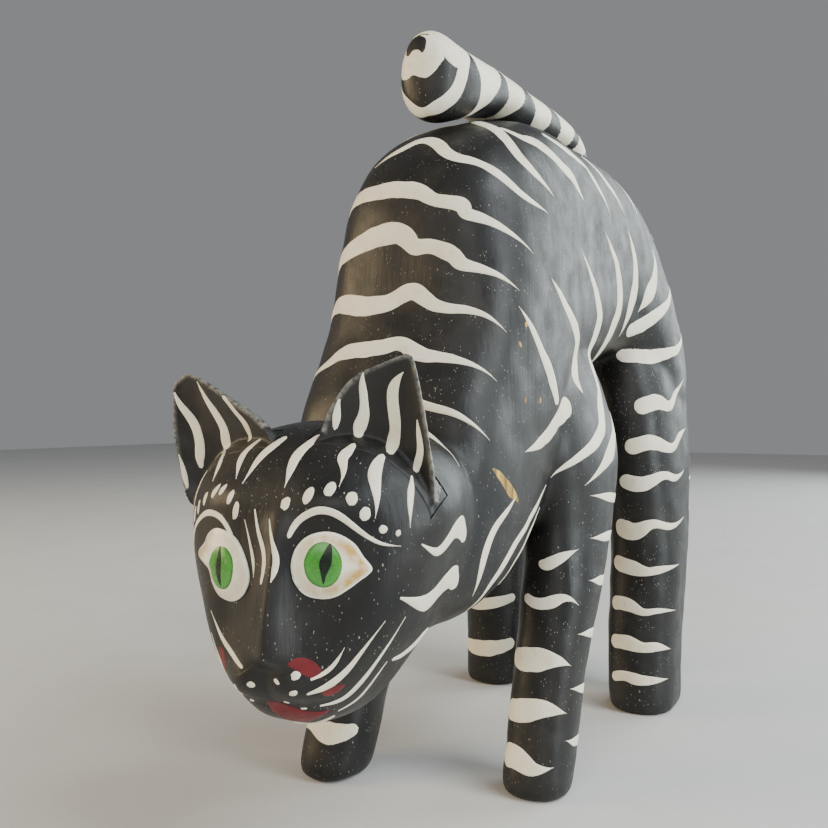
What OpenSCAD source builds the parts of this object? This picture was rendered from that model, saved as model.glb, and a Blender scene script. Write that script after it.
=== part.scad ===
// Carved and pegged wooden cat with an arched back, lowered head and plug-in tail and ears.
// Millimetres. +Z is up, the cat faces -Y and its left side is +X.
// The origin is on the ground, under the middle of the figure's bounding box.

/* [Body] */
// Half width of the back and shoulders
back_half_w = 35; // [30:1:38]
// Half width of the haunches
haunch_half_w = 44; // [40:1:46]
// Height of the ridge of the back above the centre line of the barrel
back_rise = 47; // [42:1:48]

/* [Legs] */
// Half width of a front leg at the ankle
front_ankle = 11; // [9:0.5:12]
// Half width of a hind leg at the ankle
hind_ankle = 13; // [11:0.5:14]
// Radius of the dowel that joins a leg to the torso
leg_peg_r = 4; // [3:0.5:5]
// Length of that dowel, half in the leg and half in the torso
leg_peg_len = 32; // [20:2:36]

/* [Head] */
// Half width of the head at the level of the eyes
head_half_w = 34; // [30:1:36]
// Angle by which the head turns toward the cat's left
head_turn = 8; // [0:1:10]
// Distance of an eye's centre from the middle of the face
eye_x = 14.5; // [13:0.5:16]
// Half width of an eye
eye_half_w = 9.5; // [8:0.5:10]
// Half height of an eye
eye_half_h = 8.5; // [7:0.5:9]
// Height of the eye's dome above its rim
eye_dome = 2.5; // [1:0.5:4]

/* [Ears] */
// Half width of an ear at its base
ear_half_w = 16.5; // [14:0.5:18]
// Height of an ear above its seat
ear_h = 27.5; // [22:0.5:30]
// Radius of an ear's peg
ear_peg_r = 2.5; // [2:0.25:2.75]

/* [Tail] */
// Half width of the tail
tail_half_w = 12; // [10:0.5:13]
// Radius of the tail's peg
tail_peg_r = 5; // [4:0.5:6]
// Length of the tail's peg below its seat
tail_peg_len = 20; // [14:1:26]

/* [Mesh] */
// Points around each carved section
ring_points = 28; // [20:4:32]
// Sections between two stations
ring_steps = 2; // [1:1:3]

/* [Hidden] */

$fn = 48;
slip = 0.05;       // radial clearance of a peg in its hole
gap = 0.3;         // clearance round a part that lifts out
black_paint = [0.07, 0.07, 0.075];
bare_wood = [0.78, 0.62, 0.40];
eye_white = [0.93, 0.90, 0.80];

// A station is [x, y, z, half width, upper depth, lower depth, squareness, tilt].
// A tilt of 0 stands a section upright across the body, and -90 lays it flat with "upper" to the rear.
core_stations = [
    [0,  91,  84, haunch_half_w - 20, 14, 12, 2.2, -90],
    [0,  94, 100, haunch_half_w - 5, 26, 20, 2.5, -90],
    [0,  97, 126, haunch_half_w + 1, 31, 26, 2.6, -80],
    [0,  91, 154, haunch_half_w - 1, 33, 30, 2.5, -60],
    [0,  76, 172, back_half_w + 4, back_rise - 8, 34, 2.5, -35],
    [0,  54, 178, back_half_w + 1, back_rise - 4.5, 38, 2.6, -12],
    [0,  22, 174, back_half_w, back_rise - 1, 46, 2.7, 0],
    [0,  -6, 166, back_half_w, back_rise + 4, 48, 2.9, 14],
    [0, -22, 150, back_half_w, back_rise + 5, 50, 2.8, 36],
    [0, -40, 118, back_half_w - 1, 39, 40, 2.8, 33],
    [0, -60,  96, 32, 31, 33, 2.6, 25],
    [0, -78,  86, 30, 28, 31, 2.4, 0]
];
neck_station = 9;  // the station where the neck block is glued to the torso
head_back = -78;   // the plane where the head block is glued to the neck

front_left_stations = [
    [28, -22,   0, front_ankle - 2, 9, 11, 2.6, -90],
    [28, -21,   6, front_ankle, 10.5, 13, 2.6, -90],
    [29, -13,  38, front_ankle, 11, 14, 2.5, -90],
    [30,  -4,  60, front_ankle + 1, 14, 18, 2.5, -90],
    [28,   8,  85, 13, 21, 25, 2.5, -90],
    [25,  10, 112, 14, 30, 32, 2.5, -90],
    [20,   4, 146, 9, 22, 22, 2.5, -90]
];
front_right_stations = [
    [-35, -42,   0, front_ankle - 2, 11, 11, 2.6, -90],
    [-35, -41,   6, front_ankle, 13, 13, 2.6, -90],
    [-33, -30,  38, front_ankle, 14, 14, 2.5, -90],
    [-32, -16,  60, front_ankle + 1, 18, 18, 2.5, -90],
    [-29,   2,  85, 13, 25, 25, 2.5, -90],
    [-25,   8, 112, 14, 32, 32, 2.5, -90],
    [-20,   4, 146, 9, 22, 22, 2.5, -90]
];
hind_left_stations = [
    [34, 78,   0, hind_ankle - 1, 16, 16, 2.6, -90],
    [34, 78,   6, hind_ankle, 18, 18, 2.6, -90],
    [34, 83,  50, hind_ankle + 1, 20, 20, 2.5, -90],
    [33, 89,  80, hind_ankle + 2, 25, 25, 2.5, -90],
    [30, 92, 110, 15, 29, 29, 2.5, -90],
    [22, 94, 146, 9, 22, 22, 2.5, -90]
];
hind_right_stations = [
    [-33, 84,   0, hind_ankle - 1, 16, 16, 2.6, -90],
    [-33, 84,   6, hind_ankle, 18, 18, 2.6, -90],
    [-33, 86,  50, hind_ankle + 1, 20, 20, 2.5, -90],
    [-32, 90,  80, hind_ankle + 2, 25, 25, 2.5, -90],
    [-30, 92, 110, 15, 29, 29, 2.5, -90],
    [-22, 94, 146, 9, 22, 22, 2.5, -90]
];
leg_station = 3;   // the station where every leg is sawn off level and pegged on

tail_seat_y = 73;
tail_seat_z = 210;
tail_root_r = 13;
tail_stations = [
    [-2,   -46,   224.0, 2.5, 4, 5, 2.0, 0],
    [-2,   -44.5, 224.0, tail_half_w - 5.5, 9, 10, 2.0, 0],
    [-1.5, -40,   224.0, tail_half_w - 2.5, 12, 14, 2.1, 0],
    [-0.5, -30,   224.0, tail_half_w - 1, 11, 11.5, 2.2, 0],
    [0,     -8,   227.5, tail_half_w - 0.5, 9, 6.8, 2.2, 0],
    [0,     12,   228.0, tail_half_w, 9, 6.5, 2.1, 0],
    [0,     40,   228.5, tail_half_w + 0.5, 9, 6.4, 2.1, 0],
    [0,     58,   227.5, tail_root_r, 9, 6.5, 2.1, -20],
    [0,     69,   220.0, tail_root_r, 12, 10, 2.0, -55],
    [0, tail_seat_y, tail_seat_z, tail_root_r, tail_root_r, tail_root_r, 2.0, -90]
];

// A head section is [z, front, back, half width, squareness].
head_pivot_y = -96;
head_stations = [
    [ 43, -112, -92, 8, 2.2],
    [ 46, -118, -84, 15, 2.3],
    [ 53, -124, -74, 21, 2.4],
    [ 62, -127, -66, head_half_w - 8, 2.5],
    [ 74, -127, -60, head_half_w - 3, 2.5],
    [ 86, -126, -60, head_half_w, 2.5],
    [ 97, -124, -60, head_half_w, 2.5],
    [106, -119, -64, head_half_w - 3, 2.4],
    [112, -113, -74, head_half_w - 10, 2.3],
    [115, -106, -82, 14, 2.2],
    [116, -100, -88, 5, 2.0]
];

eye_y = -124.5;
eye_z_left = 84.5;
eye_z_right = 82;
eye_yaw = 18;
eye_seat = 4;      // depth of an eye's socket below the eye's rim

ear_x_left = 19;
ear_x_right = 22;
ear_y = -108;
ear_z = 105;
ear_roll = 31;
ear_yaw = 12;
// Outline of each blade: share of the height, then the inner and outer edge as shares of ear_half_w
ear_outline_left = [[0, -0.94, 1], [0.17, -1, 0.84], [0.33, -1.02, 0.64], [0.5, -0.99, 0.41],
    [0.67, -0.87, 0.17], [0.83, -0.68, -0.07], [0.94, -0.53, -0.24], [1, -0.45, -0.36]];
ear_outline_right = [[0, -1.04, 0.95], [0.17, -1, 0.92], [0.33, -0.88, 0.86], [0.5, -0.71, 0.77],
    [0.67, -0.49, 0.65], [0.83, -0.29, 0.49], [0.94, -0.15, 0.37], [1, -0.03, 0.28]];
ear_slot_half = ear_half_w + 1;
ear_foot = 7;      // depth of the ear's foot in its slot
ear_foot_t = 7;    // thickness of the foot
ear_peg_len = 16;

neck_peg_r = 4;
neck_peg_len = 36;
neck_peg_x = 14;
head_peg_r = 4;
head_peg_len = 32;
head_peg_x = 13;

function spow(v, p) = sign(v) * pow(abs(v), p);

// One station between b and c, a fraction t of the way, on a smooth curve through a, b, c and d.
function between(a, b, c, d, t) =
    0.5 * (2 * b + (c - a) * t + (2 * a - 5 * b + 4 * c - d) * t * t
    + (3 * b - a - 3 * c + d) * t * t * t);

function smooth(st) = let (last = len(st) - 1) concat(
    [for (i = [0 : last - 1], j = [0 : ring_steps - 1])
        between(st[max(i - 1, 0)], st[i], st[i + 1], st[min(i + 2, last)], j / ring_steps)],
    [st[last]]);

// The outline of a station as points in space.
function section(s) = [for (i = [0 : ring_points - 1])
    let (q = 360 * i / ring_points,
         across = spow(cos(q), 2 / s[6]) * s[3],
         side = spow(sin(q), 2 / s[6]),
         rise = side * (side > 0 ? s[4] : s[5]))
    [s[0] + across, s[1] - rise * sin(s[7]), s[2] + rise * cos(s[7])]];

function slice(list, from, to) = [for (i = [from : to]) list[i]];

// Rings of a limb between two of its stations.
function limb(st, from, to) =
    [for (s = slice(smooth(st), from * ring_steps, to * ring_steps)) section(s)];

function turned(p) = let (y = p[1] - head_pivot_y)
    [p[0] * cos(head_turn) - y * sin(head_turn),
     head_pivot_y + p[0] * sin(head_turn) + y * cos(head_turn), p[2]];

// A level section of the head, turned with it and kept in front of the glued face.
function head_section(s) = [for (i = [0 : ring_points - 1])
    let (q = 360 * i / ring_points,
         p = turned([spow(cos(q), 2 / s[4]) * s[3],
                     (s[1] + s[2]) / 2 + spow(sin(q), 2 / s[4]) * (s[2] - s[1]) / 2, s[0]]))
    [p[0], min(p[1], head_back), p[2]]];

// A closed solid skinned over rings that all have the same even number of points.
module skin(rings) {
    n = len(rings[0]);
    m = len(rings);
    points = [for (r = rings) for (p = r) p];
    sides = [for (i = [0 : m - 2], j = [0 : n - 1])
        let (a = i * n + j, b = i * n + (j + 1) % n) each [[a, a + n, b + n], [a, b + n, b]]];
    end = (m - 1) * n;
    caps = [for (j = [0 : n / 2 - 2]) let (k = n - 1 - j)
        each [[j, j + 1, k - 1], [j, k - 1, k],
              [end + k, end + k - 1, end + j + 1], [end + k, end + j + 1, end + j]]];
    polyhedron(points, concat(sides, caps));
}

module mirror_if(flag) {
    if (flag) mirror([1, 0, 0]) children();
    else children();
}

// Places a shape at the seam of a leg, on the dowel's axis.
module at_leg(st) {
    s = st[leg_station];
    translate([s[0], s[1], s[2]]) children();
}

module leg_peg(st, r) {
    at_leg(st) cylinder(h = leg_peg_len, r = r, center = true);
}

// The neck's glued face tilts, so its dowels stand square to it.
module at_neck_seam() {
    s = core_stations[neck_station];
    translate([s[0], s[1], s[2]]) rotate([90 + s[7], 0, 0]) children();
}

module neck_dowels(r) {
    at_neck_seam()
        for (side = [-1, 1])
            translate([side * neck_peg_x, 0, 0])
                cylinder(h = neck_peg_len, r = r, center = true);
}

module head_dowels(r) {
    for (side = [-1, 1])
        translate([side * head_peg_x, head_back, 86])
            rotate([90, 0, 0])
                cylinder(h = head_peg_len, r = r, center = true);
}

module in_head() {
    translate([0, head_pivot_y, 0]) rotate([0, 0, head_turn])
        translate([0, -head_pivot_y, 0]) children();
}

// Local z runs out of the socket, and local x away from the nose.
module at_eye(side) {
    in_head() mirror_if(side < 0)
        translate([eye_x, eye_y, side > 0 ? eye_z_left : eye_z_right])
            rotate([90, 0, eye_yaw]) children();
}

// Local z runs up the ear, local x away from the middle of the head, and local y to the rear.
module at_ear(side) {
    in_head() mirror_if(side < 0)
        translate([side > 0 ? ear_x_left : ear_x_right, ear_y, ear_z])
            rotate([0, 0, ear_yaw]) rotate([0, ear_roll, 0])
                children();
}

// Almond outline with a drawn-out outer corner.
function almond(grow) = [for (q = [0 : 12 : 348])
    [cos(q) * (eye_half_w + grow) * (1 + 0.18 * pow(max(cos(q), 0), 8)), sin(q) * (eye_half_h + grow)]];

module upper_leg(st) {
    skin(limb(st, leg_station, len(st) - 1));
}

module torso() {
    color(black_paint)
        difference() {
            // A resize to nothing keeps the size and makes one skin of what is under it.
            resize([0, 0, 0]) union() {
                skin(limb(core_stations, 0, neck_station));
                upper_leg(front_left_stations);
                upper_leg(front_right_stations);
                upper_leg(hind_left_stations);
                upper_leg(hind_right_stations);
            }
            leg_peg(front_left_stations, leg_peg_r + slip);
            leg_peg(front_right_stations, leg_peg_r + slip);
            leg_peg(hind_left_stations, leg_peg_r + slip);
            leg_peg(hind_right_stations, leg_peg_r + slip);
            neck_dowels(neck_peg_r + slip);
            translate([0, tail_seat_y, tail_seat_z])
                cylinder(h = 14, r1 = tail_root_r + gap, r2 = tail_root_r + 5);
            translate([0, tail_seat_y, tail_seat_z - tail_peg_len])
                cylinder(h = tail_peg_len + 1, r = tail_peg_r + slip);
        }
}

module neck() {
    color(black_paint)
        difference() {
            skin(limb(core_stations, neck_station, len(core_stations) - 1));
            neck_dowels(neck_peg_r + slip);
            head_dowels(head_peg_r + slip);
        }
}

module head() {
    color(black_paint)
        difference() {
            skin([for (s = smooth(head_stations)) head_section(s)]);
            head_dowels(head_peg_r + slip);
            for (side = [-1, 1]) {
                at_eye(side)
                    translate([0, 0, -eye_seat]) linear_extrude(eye_seat + 10) polygon(almond(0));
                at_ear(side)
                    translate([-ear_slot_half - gap, -ear_foot_t / 2 - gap, -ear_foot])
                        cube([2 * (ear_slot_half + gap), ear_foot_t + 2 * gap, ear_foot + 20]);
                at_ear(side)
                    translate([0, 0, -ear_peg_len - 1])
                        cylinder(h = ear_peg_len, r = ear_peg_r + slip);
            }
        }
}

module leg(st) {
    color(black_paint)
        difference() {
            skin(limb(st, 0, leg_station));
            leg_peg(st, leg_peg_r + slip);
        }
}

module front_left_leg() {
    leg(front_left_stations);
}

module front_right_leg() {
    leg(front_right_stations);
}

module hind_left_leg() {
    leg(hind_left_stations);
}

module hind_right_leg() {
    leg(hind_right_stations);
}

module tail() {
    color(black_paint)
        difference() {
            skin(limb(tail_stations, 0, len(tail_stations) - 1));
            translate([0, tail_seat_y, tail_seat_z - 1])
                cylinder(h = 9, r = tail_peg_r + slip);
        }
}

module tail_peg() {
    color(bare_wood)
        translate([0, tail_seat_y, tail_seat_z - tail_peg_len])
            cylinder(h = tail_peg_len + 8, r = tail_peg_r);
}

// Crescent sections that close toward the tip make the hollow blade of the ear.
function ear_ring(row) =
    let (t = row[0],
         inner = row[1] * ear_half_w,
         outer = row[2] * ear_half_w,
         cup = 3.5 * (1 - t),
         thick = 2.2 * (1 - t) + 0.8,
         steps = 8)
    concat(
        [for (i = [0 : steps]) let (q = 2 * i / steps - 1)
            [inner + (outer - inner) * i / steps, -thick + cup * (1 - q * q) - 0.4, t * ear_h]],
        [for (i = [steps : -1 : 0]) let (q = 2 * i / steps - 1)
            [inner + (outer - inner) * i / steps, 0.4 + cup * (1 - q * q) - 0.4 * thick, t * ear_h]]);

// The foot is flush with the head all round.
module ear(side) {
    color(black_paint)
        difference() {
            union() {
                intersection() {
                    at_ear(side)
                        translate([-ear_slot_half, -ear_foot_t / 2, -ear_foot])
                            cube([2 * ear_slot_half, ear_foot_t, ear_foot + 20]);
                    skin([for (s = smooth(head_stations)) head_section(s)]);
                }
                at_ear(side)
                    skin([for (row = side > 0 ? ear_outline_left : ear_outline_right) ear_ring(row)]);
            }
            at_ear(side) translate([0, 0, -ear_foot - 1])
                cylinder(h = ear_foot, r = ear_peg_r + slip);
        }
}

module left_ear() {
    ear(1);
}

module right_ear() {
    ear(-1);
}

module ear_peg(side) {
    color(bare_wood)
        at_ear(side) translate([0, 0, -ear_peg_len - 1])
            cylinder(h = ear_peg_len, r = ear_peg_r);
}

module left_ear_peg() {
    ear_peg(1);
}

module right_ear_peg() {
    ear_peg(-1);
}

// A flat-backed plug whose front swells into a dome.
module eye(side) {
    color(eye_white)
        at_eye(side)
            skin([for (s = [[-eye_seat, 1], [0.5, 1], [0.5 + eye_dome * 0.5, 0.86],
                            [0.5 + eye_dome * 0.87, 0.5], [0.5 + eye_dome, 0.1]])
                [for (p = almond(0)) [p[0] * s[1], p[1] * s[1], s[0]]]]);
}

module left_eye() {
    eye(1);
}

module right_eye() {
    eye(-1);
}

module leg_pegs() {
    color(bare_wood) {
        leg_peg(front_left_stations, leg_peg_r);
        leg_peg(front_right_stations, leg_peg_r);
        leg_peg(hind_left_stations, leg_peg_r);
        leg_peg(hind_right_stations, leg_peg_r);
    }
}

module neck_pegs() {
    color(bare_wood) neck_dowels(neck_peg_r);
}

module head_pegs() {
    color(bare_wood) head_dowels(head_peg_r);
}

torso();
neck();
head();
front_left_leg();
front_right_leg();
hind_left_leg();
hind_right_leg();
tail();
tail_peg();
left_ear();
right_ear();
left_ear_peg();
right_ear_peg();
left_eye();
right_eye();
leg_pegs();
neck_pegs();
head_pegs();
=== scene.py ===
"""Looks of a carved, painted wooden cat: one carved form cut into its blocks, and brushed paint on top.

Lengths are in millimetres in the part's frame until a mesh is made. The cat faces -Y, its left is +X.
"""
import math
import random

import bmesh
import bpy
import numpy as np
from mathutils import Matrix, Vector, noise
from mathutils.bvhtree import BVHTree


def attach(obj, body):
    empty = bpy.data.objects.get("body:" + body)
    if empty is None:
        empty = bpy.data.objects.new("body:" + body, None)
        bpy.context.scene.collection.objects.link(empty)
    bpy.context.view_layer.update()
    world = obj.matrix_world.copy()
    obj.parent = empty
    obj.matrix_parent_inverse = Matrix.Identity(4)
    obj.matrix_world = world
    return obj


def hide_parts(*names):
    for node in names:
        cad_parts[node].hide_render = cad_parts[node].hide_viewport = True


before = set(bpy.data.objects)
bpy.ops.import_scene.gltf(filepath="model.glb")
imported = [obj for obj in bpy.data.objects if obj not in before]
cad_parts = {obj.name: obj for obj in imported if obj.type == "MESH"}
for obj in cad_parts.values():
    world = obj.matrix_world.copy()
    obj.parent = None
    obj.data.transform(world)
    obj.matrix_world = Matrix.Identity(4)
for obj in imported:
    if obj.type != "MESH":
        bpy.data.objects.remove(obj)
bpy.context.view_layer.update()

MM = 0.001
SEED = 7
rng = random.Random(SEED)

# ------------------------------------------------------------------ sizes, as in the CAD source
# The belly is up to 9 mm fuller than the CAD's. The throat, jaw, left foreleg and tail's tip differ by
# 1 to 5 mm.
# A station is [x, y, z, half width, upper depth, lower depth, squareness, tilt].
CORE = [
    [0, 91, 84, 24, 14, 12, 2.2, -90],
    [0, 94, 100, 39, 26, 20, 2.5, -90],
    [0, 97, 126, 45, 31, 26, 2.6, -80],
    [0, 91, 154, 43, 33, 30, 2.5, -60],
    [0, 76, 172, 39, 39, 43, 2.5, -35],
    [0, 54, 178, 36, 42.5, 47, 2.6, -12],
    [0, 22, 174, 35, 46, 49, 2.7, 0],
    [0, -6, 166, 35, 51, 48, 2.9, 14],
    [0, -22, 150, 35, 52, 50, 2.8, 36],
    [0, -40, 118, 34, 39, 45, 3.2, 33],
    [0, -60, 96, 33, 31, 36, 3.4, 25],
    [0, -78, 86, 30, 28, 28, 2.8, 0],
    [0, -92, 84, 26, 24, 24, 2.4, 0],
]
FRONT_LEFT = [
    [28, -22, 0, 9, 8, 11, 2.6, -90],
    [28, -21, 6, 11, 9, 13, 2.6, -90],
    [29, -13, 38, 11, 9.5, 14, 2.5, -90],
    [30, -4, 60, 12, 12, 18, 2.5, -90],
    [28, 8, 85, 13, 19, 25, 2.5, -90],
    [25, 10, 112, 14, 30, 32, 2.5, -90],
    [20, 4, 146, 9, 22, 22, 2.5, -90],
]
FRONT_RIGHT = [
    [-35, -42, 0, 9, 11, 11, 2.6, -90],
    [-35, -41, 6, 11, 13, 13, 2.6, -90],
    [-33, -30, 38, 11, 14, 14, 2.5, -90],
    [-32, -16, 60, 12, 18, 18, 2.5, -90],
    [-29, 2, 85, 13, 25, 25, 2.5, -90],
    [-25, 8, 112, 14, 32, 32, 2.5, -90],
    [-20, 4, 146, 9, 22, 22, 2.5, -90],
]
HIND_LEFT = [
    [34, 78, 0, 12, 16, 16, 2.6, -90],
    [34, 78, 6, 13, 18, 18, 2.6, -90],
    [34, 83, 50, 14, 20, 20, 2.5, -90],
    [33, 89, 80, 15, 25, 25, 2.5, -90],
    [30, 92, 110, 16, 30, 30, 2.5, -90],
    [27, 93, 134, 16, 28, 28, 2.5, -90],
    [22, 94, 160, 10, 20, 20, 2.5, -90],
]
HIND_RIGHT = [
    [-33, 84, 0, 12, 16, 16, 2.6, -90],
    [-33, 84, 6, 13, 18, 18, 2.6, -90],
    [-33, 86, 50, 14, 20, 20, 2.5, -90],
    [-32, 90, 80, 15, 25, 25, 2.5, -90],
    [-30, 92, 110, 16, 30, 30, 2.5, -90],
    [-27, 93, 134, 16, 28, 28, 2.5, -90],
    [-22, 94, 160, 10, 20, 20, 2.5, -90],
]
TAIL = [
    [-2, -46, 225, 2.5, 5, 5, 2, 0],
    [-2, -44.5, 225, 6.5, 10.5, 11, 2, 0],
    [-1.5, -40, 224.5, 9.5, 13.5, 14, 2.1, 0],
    [-0.5, -30, 224, 11, 12, 11.5, 2.2, 0],
    [0, -8, 227.5, 11.5, 9, 6.8, 2.2, 0],
    [0, 12, 228, 12, 9, 6.5, 2.1, 0],
    [0, 40, 228.5, 12.5, 9, 6.4, 2.1, 0],
    [0, 58, 227.5, 13, 9, 6.5, 2.1, -20],
    [0, 69, 220, 13, 12, 10, 2, -55],
    [0, 73, 210, 13, 13, 13, 2, -90],
]
TAIL_SEAT = (0, 73, 210)
TAIL_PEG_R, TAIL_PEG_LEN, TAIL_ROOT_R = 5, 20, 13
PEG_IN_TAIL = 8      # how far the peg goes up into the tail
POCKET_FLARE, POCKET_HEIGHT = 5, 14     # the pocket round the tail's root widens upward by the first

# A head section is [z, front, back, half width, squareness].
HEAD = [
    [43, -112, -92, 8, 2.2],
    [46, -118, -88, 13.5, 2.3],
    [53, -124, -79, 19, 2.4],
    [62, -127, -69, 25, 2.5],
    [74, -127, -60, 31, 2.5],
    [86, -126, -60, 34, 2.5],
    [97, -124, -60, 34, 2.5],
    [106, -119, -64, 31, 2.4],
    [112, -113, -74, 24, 2.3],
    [115, -106, -82, 14, 2.2],
    [116, -100, -88, 5, 2],
]
HEAD_PIVOT_Y, HEAD_TURN = -96, 8
EYE_AT = {1: (27, 84.5), -1: (-26, 82)}      # in the head's chart
EAR = dict(x={1: 19, -1: 22}, y=-108, z=105, roll=31, yaw=12, height=27.5,
           slot_half=17.5, foot=7, foot_t=7, peg_r=2.5, peg_len=16)
# Outline of each ear's blade: share of its height, inner edge and outer edge.
EAR_EDGES = {
    1: [(-0.15, -15, 15.5), (0, -15.5, 16.5), (0.17, -16.5, 13.9), (0.33, -16.8, 10.6), (0.5, -16.3, 6.8),
        (0.67, -14.3, 2.8), (0.83, -11.2, -1.2), (0.94, -8.7, -4), (1, -7.6, -5.6)],
    -1: [(-0.15, -17.4, 15.2), (0, -17.4, 15.7), (0.17, -15.8, 15.2), (0.33, -13.2, 14.2),
         (0.5, -10.4, 12.7), (0.67, -7.5, 10.7), (0.83, -4.6, 8.2), (0.94, -2.2, 6.2), (1, -0.2, 4.2)],
}
SLOT_TOP = 20       # how far above an ear's base the box that cuts its slot reaches
SLIP = 0.05         # play of a peg in its bore, all round
GAP, EAR_GAP = 0.3, 0.12        # play of the tail's root in its pocket, and of an ear's foot in its slot

# Seams of the glued blocks. The neck's seam is kept just clear of the thighs.
FRONT_SEAM_Z, HIND_SEAM_Z, HEAD_SEAM_Y = 60, 80, -78
NECK_SEAM, NECK_SEAM_TILT = (0, -50, 105), 28
NECK_LOW_Z = 66     # nothing of the neck lies lower, and the forelegs' blocks do
MID_Y = 45          # between the forelegs and the hind legs
SIDES = ((1, "left"), (-1, "right"))        # the sign of x, and the word in a name

VOXEL = 1.15        # grid of the carved form
RING = 96           # points round a carved section
STEPS = 10          # sections between two stations


# ------------------------------------------------------------------ small maths
def spow(v, p):
    return np.sign(v) * np.abs(v) ** p


def between(a, b, c, d, t):
    """A point between b and c on a smooth curve through a, b, c and d."""
    return 0.5 * (2 * b + (c - a) * t + (2 * a - 5 * b + 4 * c - d) * t * t
                  + (3 * b - a - 3 * c + d) * t ** 3)


def along(rows, s):
    """The row at the fractional index s of a list of rows, on a smooth curve through them."""
    last = len(rows) - 1
    i = int(min(max(math.floor(s), 0), last - 1))
    pick = [np.array(rows[min(max(k, 0), last)], float) for k in (i - 1, i, i + 1, i + 2)]
    return between(*pick, s - i)


def station_at(rows, column, value):
    """The fractional index at which a rising column of a list of rows reaches a value."""
    low, high = 0.0, len(rows) - 1.0
    for _ in range(24):
        mid = (low + high) / 2
        low, high = (mid, high) if along(rows, mid)[column] < value else (low, mid)
    return low


def section(st, n=RING):
    """The outline of a station."""
    q = np.arange(n) * 2 * np.pi / n
    across, side = spow(np.cos(q), 2 / st[6]) * st[3], spow(np.sin(q), 2 / st[6])
    rise = side * np.where(side > 0, st[4], st[5])
    tilt = math.radians(st[7])
    return np.stack([st[0] + across, st[1] - rise * math.sin(tilt), st[2] + rise * math.cos(tilt)], 1)


def limb(stations, steps=STEPS):
    """Rings along the whole of a list of stations."""
    count = (len(stations) - 1) * steps
    return [section(along(stations, i / steps)) for i in range(count + 1)]


def rot_z(degrees):
    return np.array(Matrix.Rotation(math.radians(degrees), 3, "Z"))


def turned(p):
    """From the head's own frame to the part's frame."""
    pivot = np.array([0, HEAD_PIVOT_Y, 0])
    return (np.asarray(p, float) - pivot) @ rot_z(HEAD_TURN).T + pivot


def unturned(p):
    pivot = np.array([0, HEAD_PIVOT_Y, 0])
    return (np.asarray(p, float) - pivot) @ rot_z(HEAD_TURN) + pivot


def head_rings():
    rings = []
    for i in range((len(HEAD) - 1) * STEPS + 1):
        z, front, back, half, n = along(HEAD, i / STEPS)
        q = np.arange(RING) * 2 * np.pi / RING
        x = spow(np.cos(q), 2 / n) * half
        y = (front + back) / 2 + spow(np.sin(q), 2 / n) * (back - front) / 2
        rings.append(turned(np.stack([x, y, np.full(RING, z)], 1)))
    return rings


def bump(x, centre, spread):
    return np.exp(-((x - centre) / spread) ** 2)


# ------------------------------------------------------------------ meshes
def new_object(name, verts_mm, faces):
    mesh = bpy.data.meshes.new(name)
    mesh.from_pydata((np.asarray(verts_mm, float) * MM).tolist(), [], faces)
    mesh.validate()
    obj = bpy.data.objects.new(name, mesh)
    bpy.context.scene.collection.objects.link(obj)
    return obj


def loft(rings):
    """Vertices and faces of a skin over rings, closed at both ends."""
    n, m = len(rings[0]), len(rings)
    verts = np.concatenate(rings)
    faces = [(i * n + j, i * n + (j + 1) % n, (i + 1) * n + (j + 1) % n, (i + 1) * n + j)
             for i in range(m - 1) for j in range(n)]
    faces += [tuple(reversed(range(n))), tuple(range((m - 1) * n, m * n))]
    return verts, faces


def outward(obj):
    bm = bmesh.new()
    bm.from_mesh(obj.data)
    bmesh.ops.recalc_face_normals(bm, faces=bm.faces)
    bm.to_mesh(obj.data)
    bm.free()
    return obj


def apply_modifiers(obj):
    dg = bpy.context.evaluated_depsgraph_get()
    mesh = bpy.data.meshes.new_from_object(obj.evaluated_get(dg))
    obj.modifiers.clear()
    old, obj.data = obj.data, mesh
    bpy.data.meshes.remove(old)
    return obj


def remeshed(obj, voxel, relax):
    mod = obj.modifiers.new("grid", "REMESH")
    mod.mode, mod.voxel_size, mod.adaptivity = "VOXEL", voxel * MM, 0
    mod = obj.modifiers.new("relax", "SMOOTH")
    mod.factor, mod.iterations = 0.5, relax
    return apply_modifiers(obj)


def merged(name, lofts, voxel, relax):
    """Several overlapping lofts as one even skin."""
    verts, faces, start = [], [], 0
    for v, f in lofts:
        verts.append(v)
        faces += [tuple(k + start for k in face) for face in f]
        start += len(v)
    return remeshed(outward(new_object(name, np.concatenate(verts), faces)), voxel, relax)


def vectors(items, name):
    """One vector of every item, as the rows of an array."""
    flat = np.empty(len(items) * 3, np.float32)
    items.foreach_get(name, flat)
    return flat.reshape(-1, 3).astype(float)


def coords(obj):
    return vectors(obj.data.vertices, "co") / MM


def normals(obj):
    return vectors(obj.data.vertex_normals, "vector")


def set_coords(obj, co):
    obj.data.vertices.foreach_set("co", (co * MM).astype(np.float32).ravel())
    obj.data.update()


def carve_marks(obj, size, depth, seed):
    """Pushes the skin in and out a little, as a knife and sandpaper leave it."""
    co, no = coords(obj), normals(obj)
    shift = np.array([noise.noise(Vector(p / size) + Vector((seed, 0, 0))) for p in co])
    set_coords(obj, co + no * (shift * depth)[:, None])


def boolean(obj, operation, other):
    mod = obj.modifiers.new("boolean", "BOOLEAN")
    mod.operation, mod.solver, mod.object = operation, "EXACT", other
    return apply_modifiers(obj)


def cut_out(obj, tools):
    """Takes closed tool meshes away from a piece."""
    for tool in tools:
        boolean(obj, "DIFFERENCE", outward(tool))
        bpy.data.objects.remove(tool)


def keep_values(obj, name, values):
    """Stores one number at every vertex, for a material to read."""
    layer = obj.data.attributes.new(name, "FLOAT", "POINT")
    layer.data.foreach_set("value", np.array(values, np.float32))


def shade(obj, material, angle=40):
    obj.data.shade_smooth()
    obj.data.set_sharp_from_angle(angle=math.radians(angle))
    obj.data.materials.clear()
    obj.data.materials.append(material)
    return obj


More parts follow.
